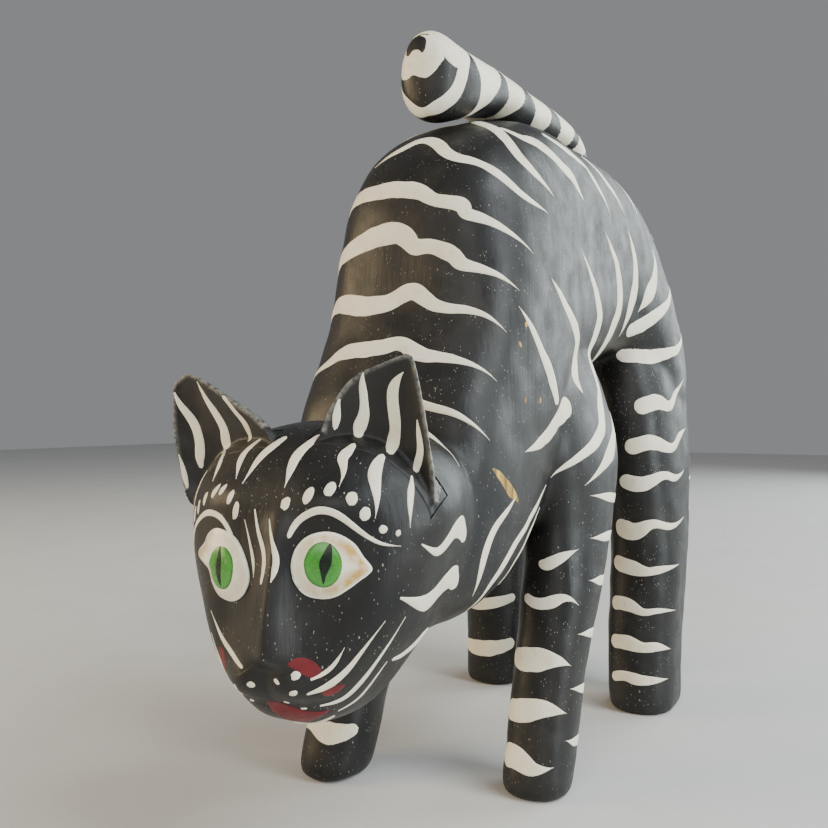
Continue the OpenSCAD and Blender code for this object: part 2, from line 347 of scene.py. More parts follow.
def tree(obj):
    bm = bmesh.new()
    bm.from_mesh(obj.data)
    found = BVHTree.FromBMesh(bm)
    bm.free()
    return found


# ------------------------------------------------------------------ the carved form
def sculpt_face(obj):
    """Nose ridge, muzzle, brows, cheeks and mouth, pushed out of the plain mask."""
    co, no = coords(obj), normals(obj)
    local, facing = unturned(co), no @ rot_z(HEAD_TURN)
    x, y, z = local.T
    front = np.clip(-facing[:, 1], 0, 1) * (y < HEAD_PIVOT_Y)
    side = np.abs(x)
    ridge_w = 3.4 + 1.6 * np.clip((88 - z) / 24, 0, 1)
    ridge = 5.4 * bump(x, 2.6, ridge_w) * np.clip((97 - z) / 26, 0, 1) ** 0.8
    ridge = ridge * np.clip((z - 60) / 3.5, 0, 1)
    muzzle = 3.4 * bump(side, 6.5, 6.5) * bump(z, 55.5, 5.0)
    hollow = -2.0 * bump(side, 12.5, 5.5) * bump(z, 71, 7.5)
    brow = 1.6 * bump(side, 15, 10) * bump(z, 99, 4.5)
    socket = -0.9 * bump(side, 14.5, 10) * bump(z, 83, 8.5)
    mouth = -0.5 * bump(z, 50.6 + side * 0.12, 1.1) * np.clip((17 - side) / 4, 0, 1)
    chin = 2.4 * bump(x, 4, 8) * bump(z, 47, 2.8)
    push = (ridge + muzzle + hollow + brow + socket + mouth + chin) * front
    ear_root = 2.2 * bump(side, 34, 8) * bump(y, -103, 10) * bump(z, 95, 7)
    local[:, 1] -= push
    local[:, 0] += np.sign(x) * ear_root
    set_coords(obj, turned(local))


def middle(face):
    return face.calc_center_median() / MM


def plane_cut(bm, faces, point, normal):
    geom = list({v for f in faces for v in f.verts}) + list({e for f in faces for e in f.edges}) + faces
    bmesh.ops.bisect_plane(bm, geom=geom, dist=1e-6, plane_co=Vector(point) * MM, plane_no=normal)


def neck_side(p):
    """Distance in front of the neck's seam, in mm."""
    t = math.radians(NECK_SEAM_TILT)
    return -((p[1] - NECK_SEAM[1]) * math.cos(t) + (p[2] - NECK_SEAM[2]) * math.sin(t))


def block_of(p):
    """Which glued block a point of the form belongs to."""
    x, y, z = p
    if y < HEAD_SEAM_Y:
        return "head"
    if neck_side(p) > 0 and z > NECK_LOW_Z:
        return "neck"
    if y > MID_Y:
        return ("hind_left_leg" if x > 0 else "hind_right_leg") if z < HIND_SEAM_Z else "torso"
    return ("front_left_leg" if x > 0 else "front_right_leg") if z < FRONT_SEAM_Z else "torso"


def cut_into_blocks(form):
    """The form sawn along its seams. Each block is closed again with a flat face.

    Each cut is kept to the faces near its seam, so that it doesn't score the other blocks.
    """
    bm = bmesh.new()
    bm.from_mesh(form.data)
    t = math.radians(NECK_SEAM_TILT)
    plane_cut(bm, [f for f in bm.faces if middle(f).y < -60], (0, HEAD_SEAM_Y, 0), (0, 1, 0))
    plane_cut(bm, [f for f in bm.faces if -75 < middle(f).y < 0 and middle(f).z > NECK_LOW_Z],
              NECK_SEAM, (0, math.cos(t), math.sin(t)))
    plane_cut(bm, [f for f in bm.faces if -60 < middle(f).y < MID_Y], (0, 0, FRONT_SEAM_Z), (0, 0, 1))
    plane_cut(bm, [f for f in bm.faces if middle(f).y > MID_Y], (0, 0, HIND_SEAM_Z), (0, 0, 1))
    bm.verts.index_update()
    groups = {}
    for f in bm.faces:
        groups.setdefault(block_of(middle(f)), []).append([v.index for v in f.verts])
    co = np.array([v.co for v in bm.verts]) / MM
    bm.free()
    blocks = {}
    for name, faces in groups.items():
        used = sorted({k for f in faces for k in f})
        index = {k: i for i, k in enumerate(used)}
        obj = new_object(name + "_carved", co[used], [tuple(index[k] for k in f) for f in faces])
        bm = bmesh.new()
        bm.from_mesh(obj.data)
        made = bmesh.ops.holes_fill(bm, edges=[e for e in bm.edges if e.is_boundary], sides=0)
        bmesh.ops.triangulate(bm, faces=made["faces"])
        bmesh.ops.recalc_face_normals(bm, faces=bm.faces)
        bm.to_mesh(obj.data)
        bm.free()
        blocks[name] = obj
    return blocks


def round_tool(name, r1, r2, length, place, count=48):
    """A cone or cylinder from z 0 to its length, put in place with a 4x4 matrix."""
    q = np.arange(count) * 2 * np.pi / count
    ring = np.stack([np.cos(q), np.sin(q), np.zeros(count)], 1)
    low, high = ring * r1, ring * r2 + np.array([0, 0, length])
    verts, faces = loft([low, high])
    return new_object(name, placed(verts, place), faces)


def box_tool(name, low, high, place):
    corners = [(x, y, z) for x in (low[0], high[0]) for y in (low[1], high[1]) for z in (low[2], high[2])]
    faces = [(0, 1, 3, 2), (4, 6, 7, 5), (0, 4, 5, 1), (2, 3, 7, 6), (0, 2, 6, 4), (1, 5, 7, 3)]
    return new_object(name, placed(corners, place), faces)


def placed(points, place):
    m = np.array(place)
    return np.asarray(points, float) @ m[:3, :3].T + m[:3, 3]


def in_head():
    pivot = Matrix.Translation((0, HEAD_PIVOT_Y, 0))
    return pivot @ Matrix.Rotation(math.radians(HEAD_TURN), 4, "Z") @ pivot.inverted()


def flip(side):
    return Matrix.Diagonal((side, 1, 1, 1))


def at_ear(side):
    """An ear's own frame in the part's frame: x outward, y back and z up the ear, from its base."""
    return (in_head() @ flip(side) @ Matrix.Translation((EAR["x"][side], EAR["y"], EAR["z"]))
            @ Matrix.Rotation(math.radians(EAR["yaw"]), 4, "Z")
            @ Matrix.Rotation(math.radians(EAR["roll"]), 4, "Y"))


form = merged("form", [loft(limb(s)) for s in (CORE, FRONT_LEFT, FRONT_RIGHT, HIND_LEFT, HIND_RIGHT)]
              + [loft(head_rings())], VOXEL, 22)
sculpt_face(form)
carve_marks(form, 9, 0.35, 3)
carve_marks(form, 28, 0.9, 11)
form_tree = tree(form)

tail = merged("tail_carved", [loft(limb(TAIL))], 0.8, 4)
carve_marks(tail, 8, 0.3, 5)
tail_tree = tree(tail)


# ------------------------------------------------------------------ where paint goes
class Chart:
    """Turns two numbers into a point on a carved skin, by looking at it from outside."""

    def __init__(self, skin, look):
        self.skin, self.look = skin, look

    def nearest(self, p):
        hit, normal, _, _ = self.skin.find_nearest(Vector(p) * MM)
        return np.array(hit) / MM, np.array(normal)

    def point(self, a, b):
        start, end = self.look(a, b)
        way = Vector(end - start)
        hit, normal, _, _ = self.skin.ray_cast(Vector(start) * MM, way.normalized(), way.length * MM)
        if hit is None:
            return self.nearest(end)
        return np.array(hit) / MM, np.array(normal)


def round_limb(stations, reach):
    """Chart of a limb: how far along its stations, and the angle round it (0 left, 90 up or back)."""
    def look(s, q):
        st = along(stations, s)
        q, tilt = math.radians(q), math.radians(st[7])
        way = np.array([math.cos(q), -math.sin(q) * math.sin(tilt), math.sin(q) * math.cos(tilt)])
        return st[:3] + way * reach, st[:3].copy()
    return look


def round_leg(stations, side, near):
    """Chart of a leg: height, and the angle round it (0 outward, 90 forward, 180 inward, -90 back).

    Its front and inner side are looked at from nearby, so that nothing stands in the way.
    """
    def look(z, a):
        centre = along(stations, station_at(stations, 2, z))[:3]
        a = math.radians(a)
        way = np.array([side * math.cos(a), -math.sin(a), 0])
        reach = 60 if math.cos(a) > 0.3 or math.sin(a) < 0 else near
        return centre + way * reach, centre
    return look


def round_head(a, z):
    """Chart of the head: the angle from the nose toward its left in degrees, and height."""
    a = math.radians(a)
    way = np.array([math.sin(a), -math.cos(a), 0])
    centre = np.array([0, HEAD_PIVOT_Y, z])
    return turned(centre + way * 60), turned(centre)


body_chart = Chart(form_tree, round_limb(CORE, 150))
tail_chart = Chart(tail_tree, round_limb(TAIL, 60))
head_chart = Chart(form_tree, round_head)
leg_charts = {
    "front_left": Chart(form_tree, round_leg(FRONT_LEFT, 1, 27)),
    "front_right": Chart(form_tree, round_leg(FRONT_RIGHT, -1, 27)),
    "hind_left": Chart(form_tree, round_leg(HIND_LEFT, 1, 34)),
    "hind_right": Chart(form_tree, round_leg(HIND_RIGHT, -1, 34)),
}


def from_side(side):
    """Chart of a flank: how far back and how high."""
    return lambda y, z: (np.array([side * 90.0, y, z]), np.array([0.0, y, z]))


def from_front(x, z):
    """Chart of the front of the tail's tip: how far to its left and how high."""
    return np.array([x, -90.0, z]), np.array([x, -30.0, z])


flank_charts = {side: Chart(form_tree, from_side(side)) for side in (1, -1)}
tip_chart = Chart(tail_tree, from_front)


# ------------------------------------------------------------------ brushed paint
PAINT_TOP = 0.14     # how far dried paint stands proud
PAINT_ROOT = 0.35    # how far its underside is sunk in the wood
CROSS = (-1, -0.85, -0.45, 0, 0.45, 0.85, 1)        # points across a stroke, as shares of its half width
CROWN = (0.02, 0.75, 0.95, 1, 0.95, 0.75, 0.02)     # and their heights, as shares of PAINT_TOP
SMOOTH_LEAST, SMOOTH_MOST = 4, 12       # passes that even out a path; a broad stroke takes more of them
EDGE_BUMP = 3.5      # length of the bumps along a stroke's edge
LEAST_HALF = 0.07    # half width of a stroke's pointed end
ROUND_FROM = 0.3     # an end whose half width is more than this is rounded


class Paint:
    """Gathers brushed shapes into one mesh."""

    def __init__(self, name, body, slot, material):
        self.name, self.body, self.slot, self.material = name, body, slot, material
        self.verts, self.faces, self.tone = [], [], []

    def add(self, verts, faces):
        start = len(self.verts)
        self.verts += [tuple(v) for v in verts]
        self.tone += [rng.random()] * len(verts)
        self.faces += [tuple(k + start for k in f) for f in faces]

    def finish(self):
        obj = outward(new_object(self.name, self.verts, self.faces))
        keep_values(obj, "tone", self.tone)
        shade(obj, self.material, 50)
        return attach(obj, self.body)


def unit(v):
    return v / max(np.linalg.norm(v), 1e-9)


def stroke(paint, chart, path, widths, wobble=0.10, step=0.8, top=PAINT_TOP):
    """A brush stroke along chart points. The widths are in mm, one for each point."""
    last = len(path) - 1
    rough = [chart.point(*along(path, last * i / 10))[0] for i in range(11)]
    length = sum(np.linalg.norm(b - a) for a, b in zip(rough, rough[1:]))
    count = max(10, int(length / step))
    ease = [0.5 - 0.5 * math.cos(math.pi * i / count) for i in range(count + 1)]
    places = [last * (0.5 * i / count + 0.5 * e) for i, e in enumerate(ease)]
    found = [chart.point(*along(path, s)) for s in places]
    p = np.array([f[0] for f in found])
    for _ in range(min(SMOOTH_LEAST + int(1.5 * max(widths)), SMOOTH_MOST)):
        p[1:-1] = (p[:-2] + 2 * p[1:-1] + p[2:]) / 4
    run = np.concatenate([[0], np.cumsum(np.linalg.norm(np.diff(p, axis=0), axis=1))])
    total, phase = run[-1], rng.uniform(0, 99)
    rows_w = [[w] for w in widths]
    top_rows, low_rows = [], []
    for i, s in enumerate(places):
        half = max(along(rows_w, s)[0], 0.0) / 2
        for d in (run[i], total - run[i]):
            if half > ROUND_FROM and d < half:
                half *= math.sqrt(max(1 - (1 - d / half) ** 2, 0.0))
        normal = found[i][1]
        tangent = unit(p[min(i + 1, count)] - p[max(i - 1, 0)])
        across = unit(np.cross(normal, tangent))
        rowt, rowl = [], []
        # The two edges of a stroke wobble apart from each other.
        for c, crown in zip(CROSS, CROWN):
            edge = 1 + wobble * noise.noise(Vector((run[i] / EDGE_BUMP, phase, 5.0 * (c > 0))))
            spot, up = chart.nearest(p[i] + across * c * max(half * edge, LEAST_HALF))
            rowt.append(spot + up * top * crown)
            if abs(c) in (0, 1):
                rowl.append(spot - up * PAINT_ROOT)
        top_rows.append(rowt)
        low_rows.append(rowl)
    nt, nl = len(CROSS), 3
    verts = [v for row in top_rows for v in row] + [v for row in low_rows for v in row]
    low = len(top_rows) * nt
    faces = []
    for i in range(count):
        a, b = i * nt, (i + 1) * nt
        faces += [(a + j, b + j, b + j + 1, a + j + 1) for j in range(nt - 1)]
        c, d = low + i * nl, low + (i + 1) * nl
        faces += [(c + j, c + j + 1, d + j + 1, d + j) for j in range(nl - 1)]
        faces += [(a, c, d, b), (a + nt - 1, b + nt - 1, d + nl - 1, c + nl - 1)]
    for i in (0, count):
        upper = tuple(range(i * nt, (i + 1) * nt))
        lower = tuple(range(low + i * nl, low + (i + 1) * nl))
        faces.append(upper + lower[::-1])
    paint.add(verts, faces)


def cap(chart, a, b, outline, height, root=PAINT_ROOT, turn=0.0, rings=4):
    """A thin closed cap on a skin: an outline in mm, right and up the surface, and its height at each share
    of the way out. Returns vertices, faces and that share at every vertex."""
    centre, normal = chart.point(a, b)
    reference = np.array([0, 0, 1.0]) if abs(normal[2]) < 0.9 else np.array([0, -1.0, 0])
    right = unit(np.cross(reference, normal))
    up = np.cross(normal, right)
    turn = math.radians(turn)
    right, up = right * math.cos(turn) + up * math.sin(turn), up * math.cos(turn) - right * math.sin(turn)
    n = len(outline)
    top, low, share = [centre + normal * height(0)], [centre - normal * root], [0]
    for k in range(1, rings + 1):
        for x, y in outline:
            spot, out = chart.nearest(centre + (right * x + up * y) * k / rings)
            top.append(spot + out * height(k / rings))
            low.append(spot - out * root)
            share.append(k / rings)
    m, faces = len(top), []
    for j in range(n):
        j2 = (j + 1) % n
        faces += [(0, 1 + j, 1 + j2), (m, m + 1 + j2, m + 1 + j)]
        for k in range(rings - 1):
            a, b = 1 + k * n, 1 + (k + 1) * n
            faces += [(a + j, b + j, b + j2, a + j2), (m + a + j, m + a + j2, m + b + j2, m + b + j)]
        rim = 1 + (rings - 1) * n
        faces.append((rim + j, m + rim + j, m + rim + j2, rim + j2))
    return top + low, faces, share + share


def patch(paint, chart, a, b, outline, turn=0.0, top=PAINT_TOP, rings=4):
    """A dab or filled shape of paint round a chart point, thin at its rim."""
    def height(t):
        return top * (1 if t < 1 else 0.15)
    verts, faces, _ = cap(chart, a, b, outline, height, turn=turn, rings=rings)
    paint.add(verts, faces)


def oval(rx, ry, lump=0.08, count=28):
    """A hand-made oval."""
    phase, points = rng.uniform(0, 99), []
    for i in range(count):
        q = 2 * math.pi * i / count
        c, s = math.cos(q), math.sin(q)
        bulge_x, bulge_y = (1 + lump * noise.noise(Vector((c * 1.5, s * 1.5, phase + k))) for k in (0, 9))
        points.append((rx * c * bulge_x, ry * s * bulge_y))
    return points


def round_shape(points, per=6):
    """A smooth closed outline through a few points."""
    n = len(points)
    rows = [np.array(p, float) for p in points]
    return [tuple(between(rows[i - 1], rows[i], rows[(i + 1) % n], rows[(i + 2) % n], k / per))
            for i in range(n) for k in range(per)]


def shaken(path, amount):
    """The same path drawn again by hand."""
    return [tuple(v + rng.uniform(-1, 1) * a for v, a in zip(p, amount)) for p in path]


# ------------------------------------------------------------------ materials
class Shader:
    """A material whose nodes are wired by short calls."""

    def __init__(self, name, **fixed):
        self.mat = bpy.data.materials.new(name)
        self.mat.use_nodes = True
        self.tree = self.mat.node_tree
        self.bsdf = self.tree.nodes["Principled BSDF"]
        self.place = self.tree.nodes.new("ShaderNodeTexCoord").outputs["Object"]
        for socket, value in fixed.items():
            self.bsdf.inputs[socket.replace("_", " ")].default_value = value

    def node(self, kind, props=(), **inputs):
        n = self.tree.nodes.new("ShaderNode" + kind)
        for key, value in dict(props).items():
            setattr(n, key, value)
        for key, value in inputs.items():
            self.feed(n.inputs[int(key[1:]) if key[1:].isdigit() else key.replace("_", " ")], value)
        return n

    def feed(self, socket, value):
        """Links another node's output to a socket, or sets the socket to a fixed value."""
        if isinstance(value, bpy.types.NodeSocket):
            self.tree.links.new(value, socket)
        else:
            socket.default_value = value

    def stretched(self, x, y, z):
        return self.node("Mapping", i0=self.place, Scale=(x, y, z)).outputs[0]

    def noise(self, size_mm, detail=3, rough=0.6, where=None):
        return self.node("TexNoise", i0=where or self.place, Scale=1000 / size_mm,
                         Detail=detail, Roughness=rough).outputs["Fac"]

    def ramp(self, value, low, high, to_low=0.0, to_high=1.0):
        return self.node("MapRange", Value=value, From_Min=low, From_Max=high,
                         To_Min=to_low, To_Max=to_high).outputs[0]

    def math(self, operation, a, b):
        return self.node("Math", {"operation": operation}, i0=a, i1=b).outputs[0]

    def mix(self, share, a, b):
        """Colour a turned into colour b by a share. Inputs 6 and 7 are the node's two colours."""
        n = self.node("Mix", {"data_type": "RGBA"}, i0=share)
        for index, colour in ((6, a), (7, b)):
            self.feed(n.inputs[index], (*colour, 1) if isinstance(colour, tuple) else colour)
        return n.outputs[2]

    def dots(self, size_mm, radius, cover):
        """Small specks: cells of a size, a radius as a share of it, and how much of the skin has them."""
        cells = self.node("TexVoronoi", i0=self.stretched(1, 1, 0.55), Scale=1000 / size_mm)
        spot = self.ramp(cells.outputs["Distance"], radius, radius * 0.6)
        return self.math("MULTIPLY", spot, self.ramp(self.noise(size_mm * 6), cover, cover - 0.08))

    def attribute(self, name):
        return self.node("Attribute", {"attribute_name": name}).outputs["Fac"]

    def bump(self, height, distance_mm, strength, before=None):
        n = self.node("Bump", Strength=strength, Distance=distance_mm * MM, Height=height)
        if before is not None:
            self.tree.links.new(before, n.inputs["Normal"])
        return n.outputs[0]

    def wire(self, **sockets):
        for key, value in sockets.items():
            self.tree.links.new(value, self.bsdf.inputs[key.replace("_", " ")])
        return self.mat


def black_paint_material(name, worn_highlit_edges=False, speckled=True):
    """Satin black acrylic over wood: upright grain, pale dust, pale specks in the pores that are partly
    painted glints, and rubbed edges made lighter partly as a painted highlight.
    """
    s = Shader(name, Specular_IOR_Level=0.4)
    colour = s.mix(s.ramp(s.noise(22), 0.35, 0.7), (0.005, 0.005, 0.0055), (0.015, 0.014, 0.012))
    dust = s.math("MULTIPLY", s.ramp(s.noise(45, 2), 0.5, 0.75), s.ramp(s.noise(3.5), 0.4, 0.8, 0, 0.35))
    colour = s.mix(dust, colour, (0.075, 0.07, 0.06))
    grain = s.noise(1.3, 4, 0.65, s.stretched(1, 1, 0.05))
    # Pale specks: dust in the wood's pores, and partly painted glints on the pits.
    pale_specks_and_glints = s.math("MAXIMUM", s.dots(0.9, 0.17, 0.53), s.dots(2.4, 0.10, 0.52))
    if speckled:
        colour = s.mix(s.math("MULTIPLY", pale_specks_and_glints, 0.6), colour, (0.42, 0.40, 0.32))
    if worn_highlit_edges:
        # Lighter along the ears' rims and tops: rubbed paint, and partly a painted highlight on the edges.
        rub_and_highlight = s.math("MULTIPLY", s.attribute("wear_and_highlight"), s.ramp(s.noise(1.6, 4, 0.7), 0.36, 0.6, 0.15, 0.85))
        colour = s.mix(rub_and_highlight, colour, (0.25, 0.245, 0.215))
    rough = s.ramp(s.noise(7), 0.3, 0.7, 0.36, 0.52)
    normal = s.bump(grain, 0.35, 0.28)
    normal = s.bump(s.noise(5, 2), 0.6, 0.12, normal)
    normal = s.bump(pale_specks_and_glints, 0.25, 0.5, normal)
    return s.wire(Base_Color=colour, Roughness=rough, Normal=normal)


def cream_paint_material():
    """Thick cream-white paint laid with a brush."""
    s = Shader("cream_paint", Specular_IOR_Level=0.45)
    tone = s.math("MULTIPLY", s.attribute("tone"), 0.5)
    colour = s.mix(tone, (0.88, 0.83, 0.68), (0.82, 0.74, 0.53))
    colour = s.mix(s.ramp(s.noise(5), 0.5, 0.8, 0, 0.55), colour, (0.66, 0.56, 0.36))
    thin = s.ramp(s.noise(0.9, 4, 0.7, s.stretched(1, 1, 0.25)), 0.66, 0.74, 0, 0.6)
    colour = s.mix(thin, colour, (0.25, 0.23, 0.18))
    normal = s.bump(s.noise(0.8, 3, 0.6, s.stretched(0.4, 0.4, 1)), 0.15, 0.35)
    return s.wire(Base_Color=colour, Roughness=s.ramp(s.noise(3), 0.3, 0.7, 0.42, 0.6), Normal=normal)


def red_paint_material():
    s = Shader("red_paint", Specular_IOR_Level=0.45)
    colour = s.mix(s.ramp(s.noise(2.5), 0.3, 0.7), (0.17, 0.008, 0.012), (0.09, 0.005, 0.007))
    normal = s.bump(s.noise(0.7), 0.15, 0.3)
    return s.wire(Base_Color=colour, Roughness=s.ramp(s.noise(2), 0.3, 0.7, 0.35, 0.55), Normal=normal)


def bare_wood_material(name, light, dark, ring_mm=2.0):
    s = Shader(name, Specular_IOR_Level=0.3)
    grain = s.noise(ring_mm, 4, 0.6, s.stretched(1, 1, 0.08))
    colour = s.mix(s.ramp(grain, 0.35, 0.7), light, dark)
    return s.wire(Base_Color=colour, Roughness=s.ramp(grain, 0.3, 0.7, 0.6, 0.8),
                  Normal=s.bump(grain, 0.3, 0.4))


def eye_cream_material():
    """Glossy cream with an ochre stain round the iris, strongest at the outer corner, and a clean rim."""
    s = Shader("eye_cream", Specular_IOR_Level=0.5, Coat_Weight=0.35, Coat_Roughness=0.12)
    rim = s.attribute("rim")
    sideways = s.math("ABSOLUTE", s.node("SeparateXYZ", i0=s.place).outputs[0], 0.0)
    band = s.math("MULTIPLY", s.ramp(rim, 0.45, 0.75), s.ramp(rim, 0.97, 0.88))
    stain = s.math("MULTIPLY", band, s.ramp(s.noise(2.6), 0.35, 0.6, 0.4, 1))
    stain = s.math("MULTIPLY", stain, s.ramp(sideways, 0.011, 0.022, 0.3, 1))
    colour = s.mix(stain, (0.88, 0.85, 0.70), (0.56, 0.34, 0.08))
    return s.wire(Base_Color=colour, Roughness=s.ramp(s.noise(2), 0.3, 0.7, 0.25, 0.4),
                  Normal=s.bump(s.noise(1.2), 0.1, 0.25))


def iris_material():
    s = Shader("iris_green", Specular_IOR_Level=0.45, Coat_Weight=0.3, Coat_Roughness=0.15)
    rim = s.attribute("rim")
    colour = s.mix(s.ramp(rim, 0.1, 0.9), (0.02, 0.15, 0.012), (0.055, 0.30, 0.03))
    colour = s.mix(s.ramp(rim, 0.86, 1.0, 0, 0.8), colour, (0.02, 0.09, 0.015))
    colour = s.mix(s.ramp(s.noise(0.8), 0.45, 0.75, 0, 0.4), colour, (0.14, 0.42, 0.09))
    return s.wire(Base_Color=colour, Roughness=s.ramp(s.noise(1.5), 0.3, 0.7, 0.18, 0.3))


def pupil_material():
    s = Shader("pupil_black", Specular_IOR_Level=0.35, Coat_Weight=0.1, Coat_Roughness=0.2)
    colour = s.mix(s.ramp(s.noise(1.2), 0.4, 0.7), (0.003, 0.005, 0.003), (0.008, 0.02, 0.008))
    return s.wire(Base_Color=colour, Roughness=s.ramp(s.noise(1.0), 0.3, 0.7, 0.2, 0.35))


def floor_material():
    s = Shader("pale_floor", Specular_IOR_Level=0.3)
    colour = s.mix(s.ramp(s.noise(60), 0.3, 0.7), (0.60, 0.59, 0.57), (0.64, 0.63, 0.61))
    return s.wire(Base_Color=colour, Roughness=s.ramp(s.noise(9), 0.3, 0.7, 0.6, 0.7))


BLACK = black_paint_material("black_paint")
BLACK_WORN_HIGHLIT = black_paint_material("black_paint_worn_highlit", worn_highlit_edges=True, speckled=False)
BLACK_SMOOTH = black_paint_material("black_paint_smooth", speckled=False)
CREAM = cream_paint_material()
RED = red_paint_material()
WOOD = bare_wood_material("bare_wood", (0.58, 0.42, 0.22), (0.40, 0.26, 0.12))
CHIPPED = bare_wood_material("chipped_wood", (0.68, 0.44, 0.11), (0.06, 0.03, 0.012), 1.4)
EYE_CREAM, IRIS, PUPIL = eye_cream_material(), iris_material(), pupil_material()


# ------------------------------------------------------------------ carved pieces
def foot_in(head, side):
    """An ear's foot: the wood its slot takes out of the head, so that it lies flush all round."""
    half, thick = EAR["slot_half"], EAR["foot_t"] / 2
    foot = outward(box_tool("foot", (-half, -thick, -EAR["foot"]), (half, thick, SLOT_TOP), at_ear(side)))
    boolean(foot, "INTERSECT", head)
    verts, faces = coords(foot), [tuple(f.vertices) for f in foot.data.polygons]
    bpy.data.objects.remove(foot)
    return verts, faces


# The four soles lie flat on z = 0.
soled = coords(form)
soled[:, 2] = np.maximum(soled[:, 2], 0)
set_coords(form, soled)
blocks = cut_into_blocks(form)
bpy.data.objects.remove(form)

x0, y0, z0 = TAIL_SEAT
cut_out(blocks["torso"], [
    round_tool("pocket", TAIL_ROOT_R + GAP, TAIL_ROOT_R + POCKET_FLARE, POCKET_HEIGHT,
               Matrix.Translation((x0, y0, z0))),
    round_tool("bore", TAIL_PEG_R + SLIP, TAIL_PEG_R + SLIP, TAIL_PEG_LEN + 1,
               Matrix.Translation((x0, y0, z0 - TAIL_PEG_LEN))),
])
ear_tools, ear_feet = [], {}
for side in (1, -1):
    ear_feet[side] = foot_in(blocks["head"], side)
    half, thick = EAR["slot_half"] + EAR_GAP, EAR["foot_t"] / 2 + EAR_GAP
    ear_tools += [
        box_tool("slot", (-half, -thick, -EAR["foot"]), (half, thick, SLOT_TOP), at_ear(side)),
        round_tool("bore", EAR["peg_r"] + SLIP, EAR["peg_r"] + SLIP, EAR["peg_len"] + 1,
                   at_ear(side) @ Matrix.Translation((0, 0, -EAR["peg_len"] - 1))),
    ]
cut_out(blocks["head"], ear_tools)
cut_out(tail, [round_tool("bore", TAIL_PEG_R + SLIP, TAIL_PEG_R + SLIP, PEG_IN_TAIL + 1,
                          Matrix.Translation((x0, y0, z0 - 1)))])

for name, block in blocks.items():
    shade(block, BLACK)
    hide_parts(name)
    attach(block, "body")
shade(tail, BLACK)
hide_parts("tail")
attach(tail, "tail_plug")


def ear_edges(side, t):
    """The inner and outer edge of an ear's blade at a share of its height."""
    edges, per = EAR_EDGES[side], 8
    rows = np.array([along(edges, k / per) for k in range((len(edges) - 1) * per + 1)])
    return np.interp(t, rows[:, 0], rows[:, 1]), np.interp(t, rows[:, 0], rows[:, 2])


def ear_ring(side, t, steps=28):
    """One level of the ear's cupped blade: its front from edge to edge, then its back."""
    inner, outer = ear_edges(side, t)
    cup = 5.2 * (1 - t) ** 0.8
    thick = 2.2 * (1 - t) + 1.1
    q = np.linspace(-1, 1, steps + 1)
    x, z = inner + (outer - inner) * (q + 1) / 2, np.full(steps + 1, t * EAR["height"])
    front = np.stack([x, -2.9 + cup * (1 - q * q), z], 1)
    back = front + np.stack([np.zeros(steps + 1), thick - 0.5 * q * q, np.zeros(steps + 1)], 1)
    return np.concatenate([front, back[::-1]])


def carve_ear(side, name):
    blade = [ear_ring(side, t) for t in np.linspace(-0.12, 1, 30)]
    verts, faces = loft(blade)
    obj = merged(name, [(placed(verts, at_ear(side)), faces), ear_feet[side]], 0.4, 6)
    carve_marks(obj, 5, 0.25, 20 + side)
    local = (coords(obj) - np.array(at_ear(side).translation)) @ np.array(at_ear(side).to_3x3().inverted()).T
    t = local[:, 2] / EAR["height"]
    inner, outer = ear_edges(side, t)
    rim = np.minimum(local[:, 0] - inner, outer - local[:, 0])
    # Lighter near the blade's edges and tip: partly worn paint, partly a painted highlight along the rims.
    wear_and_highlight = np.clip((1.6 - rim) / 1.2, 0, 1) * (t > 0.04) * (rim > -0.8) + np.clip((t - 0.95) / 0.04, 0, 1)
    keep_values(obj, "wear_and_highlight", np.clip(wear_and_highlight, 0, 1))
    shade(obj, BLACK_WORN_HIGHLIT)
    return obj


def from_ear_front(side):
    """Chart of an ear's hollow: mm outward from the middle of its base, and mm up."""
    return lambda x, z: tuple(placed([(x, -20, z), (x, 8, z)], at_ear(side)))


ear_charts = {}
for side, word in SIDES:
    ear = carve_ear(side, word + "_ear_carved")
    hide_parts(word + "_ear")
    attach(ear, word + "_ear_plug")
    ear_charts[side] = Chart(tree(ear), from_ear_front(side))

for node in ("tail_peg", "left_ear_peg", "right_ear_peg", "leg_pegs", "neck_pegs", "head_pegs"):
    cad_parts[node].data.materials.clear()
    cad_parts[node].data.materials.append(WOOD)


# ------------------------------------------------------------------ eyes
DOME_RIM, DOME_RISE = 0.35, 1.6     # how far an eye's rim stands proud, and its middle above the rim
# Outlines in mm, to the cat's left and up. Iris: centre and half sizes.
EYE_SHAPES = {1: dict(
    almond=[(-8.6, -1.1), (-7.6, 2.8), (-4.9, 5.8), (-1, 7.1), (2.5, 6.6), (6, 4.5), (8.2, 1.5),
            (10.2, -1), (9.4, -2.4), (7.6, -3.7), (4.7, -5.8), (1.6, -7.6), (-1.6, -8.1), (-5, -7.2),
            (-7.6, -4.6)],
    iris=(-1.2, -0.2, 4.4, 5.3),
    pupil=[(0.5, 4.8), (1, 2.5), (0.8, -0.1), (-0.3, -2.4), (-1, -4.6), (-1.5, -2.3), (-1.9, 0.2),
           (-1, 2.4)],
), -1: dict(
    almond=[(-10.2, 2.4), (-7.2, 5), (-5.6, 7.4), (-2.6, 8.9), (0.6, 8.6), (4.1, 7), (6.8, 3.8), (8.6, 0.2),
            (8.8, -2.8), (6.9, -6), (2.9, -7.8), (-1.2, -7.1), (-3.6, -4.4), (-5, -1.2), (-7.4, 0.4)],
    iris=(1.4, 0, 4.2, 5.2),
    pupil=[(0.8, 5.2), (1.5, 2.5), (1.7, -0.5), (1.6, -2.8), (1.3, -4.4), (0.6, -2.8), (0.1, -0.2),
           (0.4, 2.6)],
)}


def share_layer(name, chart, a, b, outline, height, root, material, rings=10):
    """A layer of an eye, with the share of the way out to its rim kept for its colours."""
    verts, faces, share = cap(chart, a, b, outline, height, root, rings=rings)
    obj = outward(new_object(name, verts, faces))
    keep_values(obj, "rim", share)
    shade(obj, material, 60)
    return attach(obj, "body")


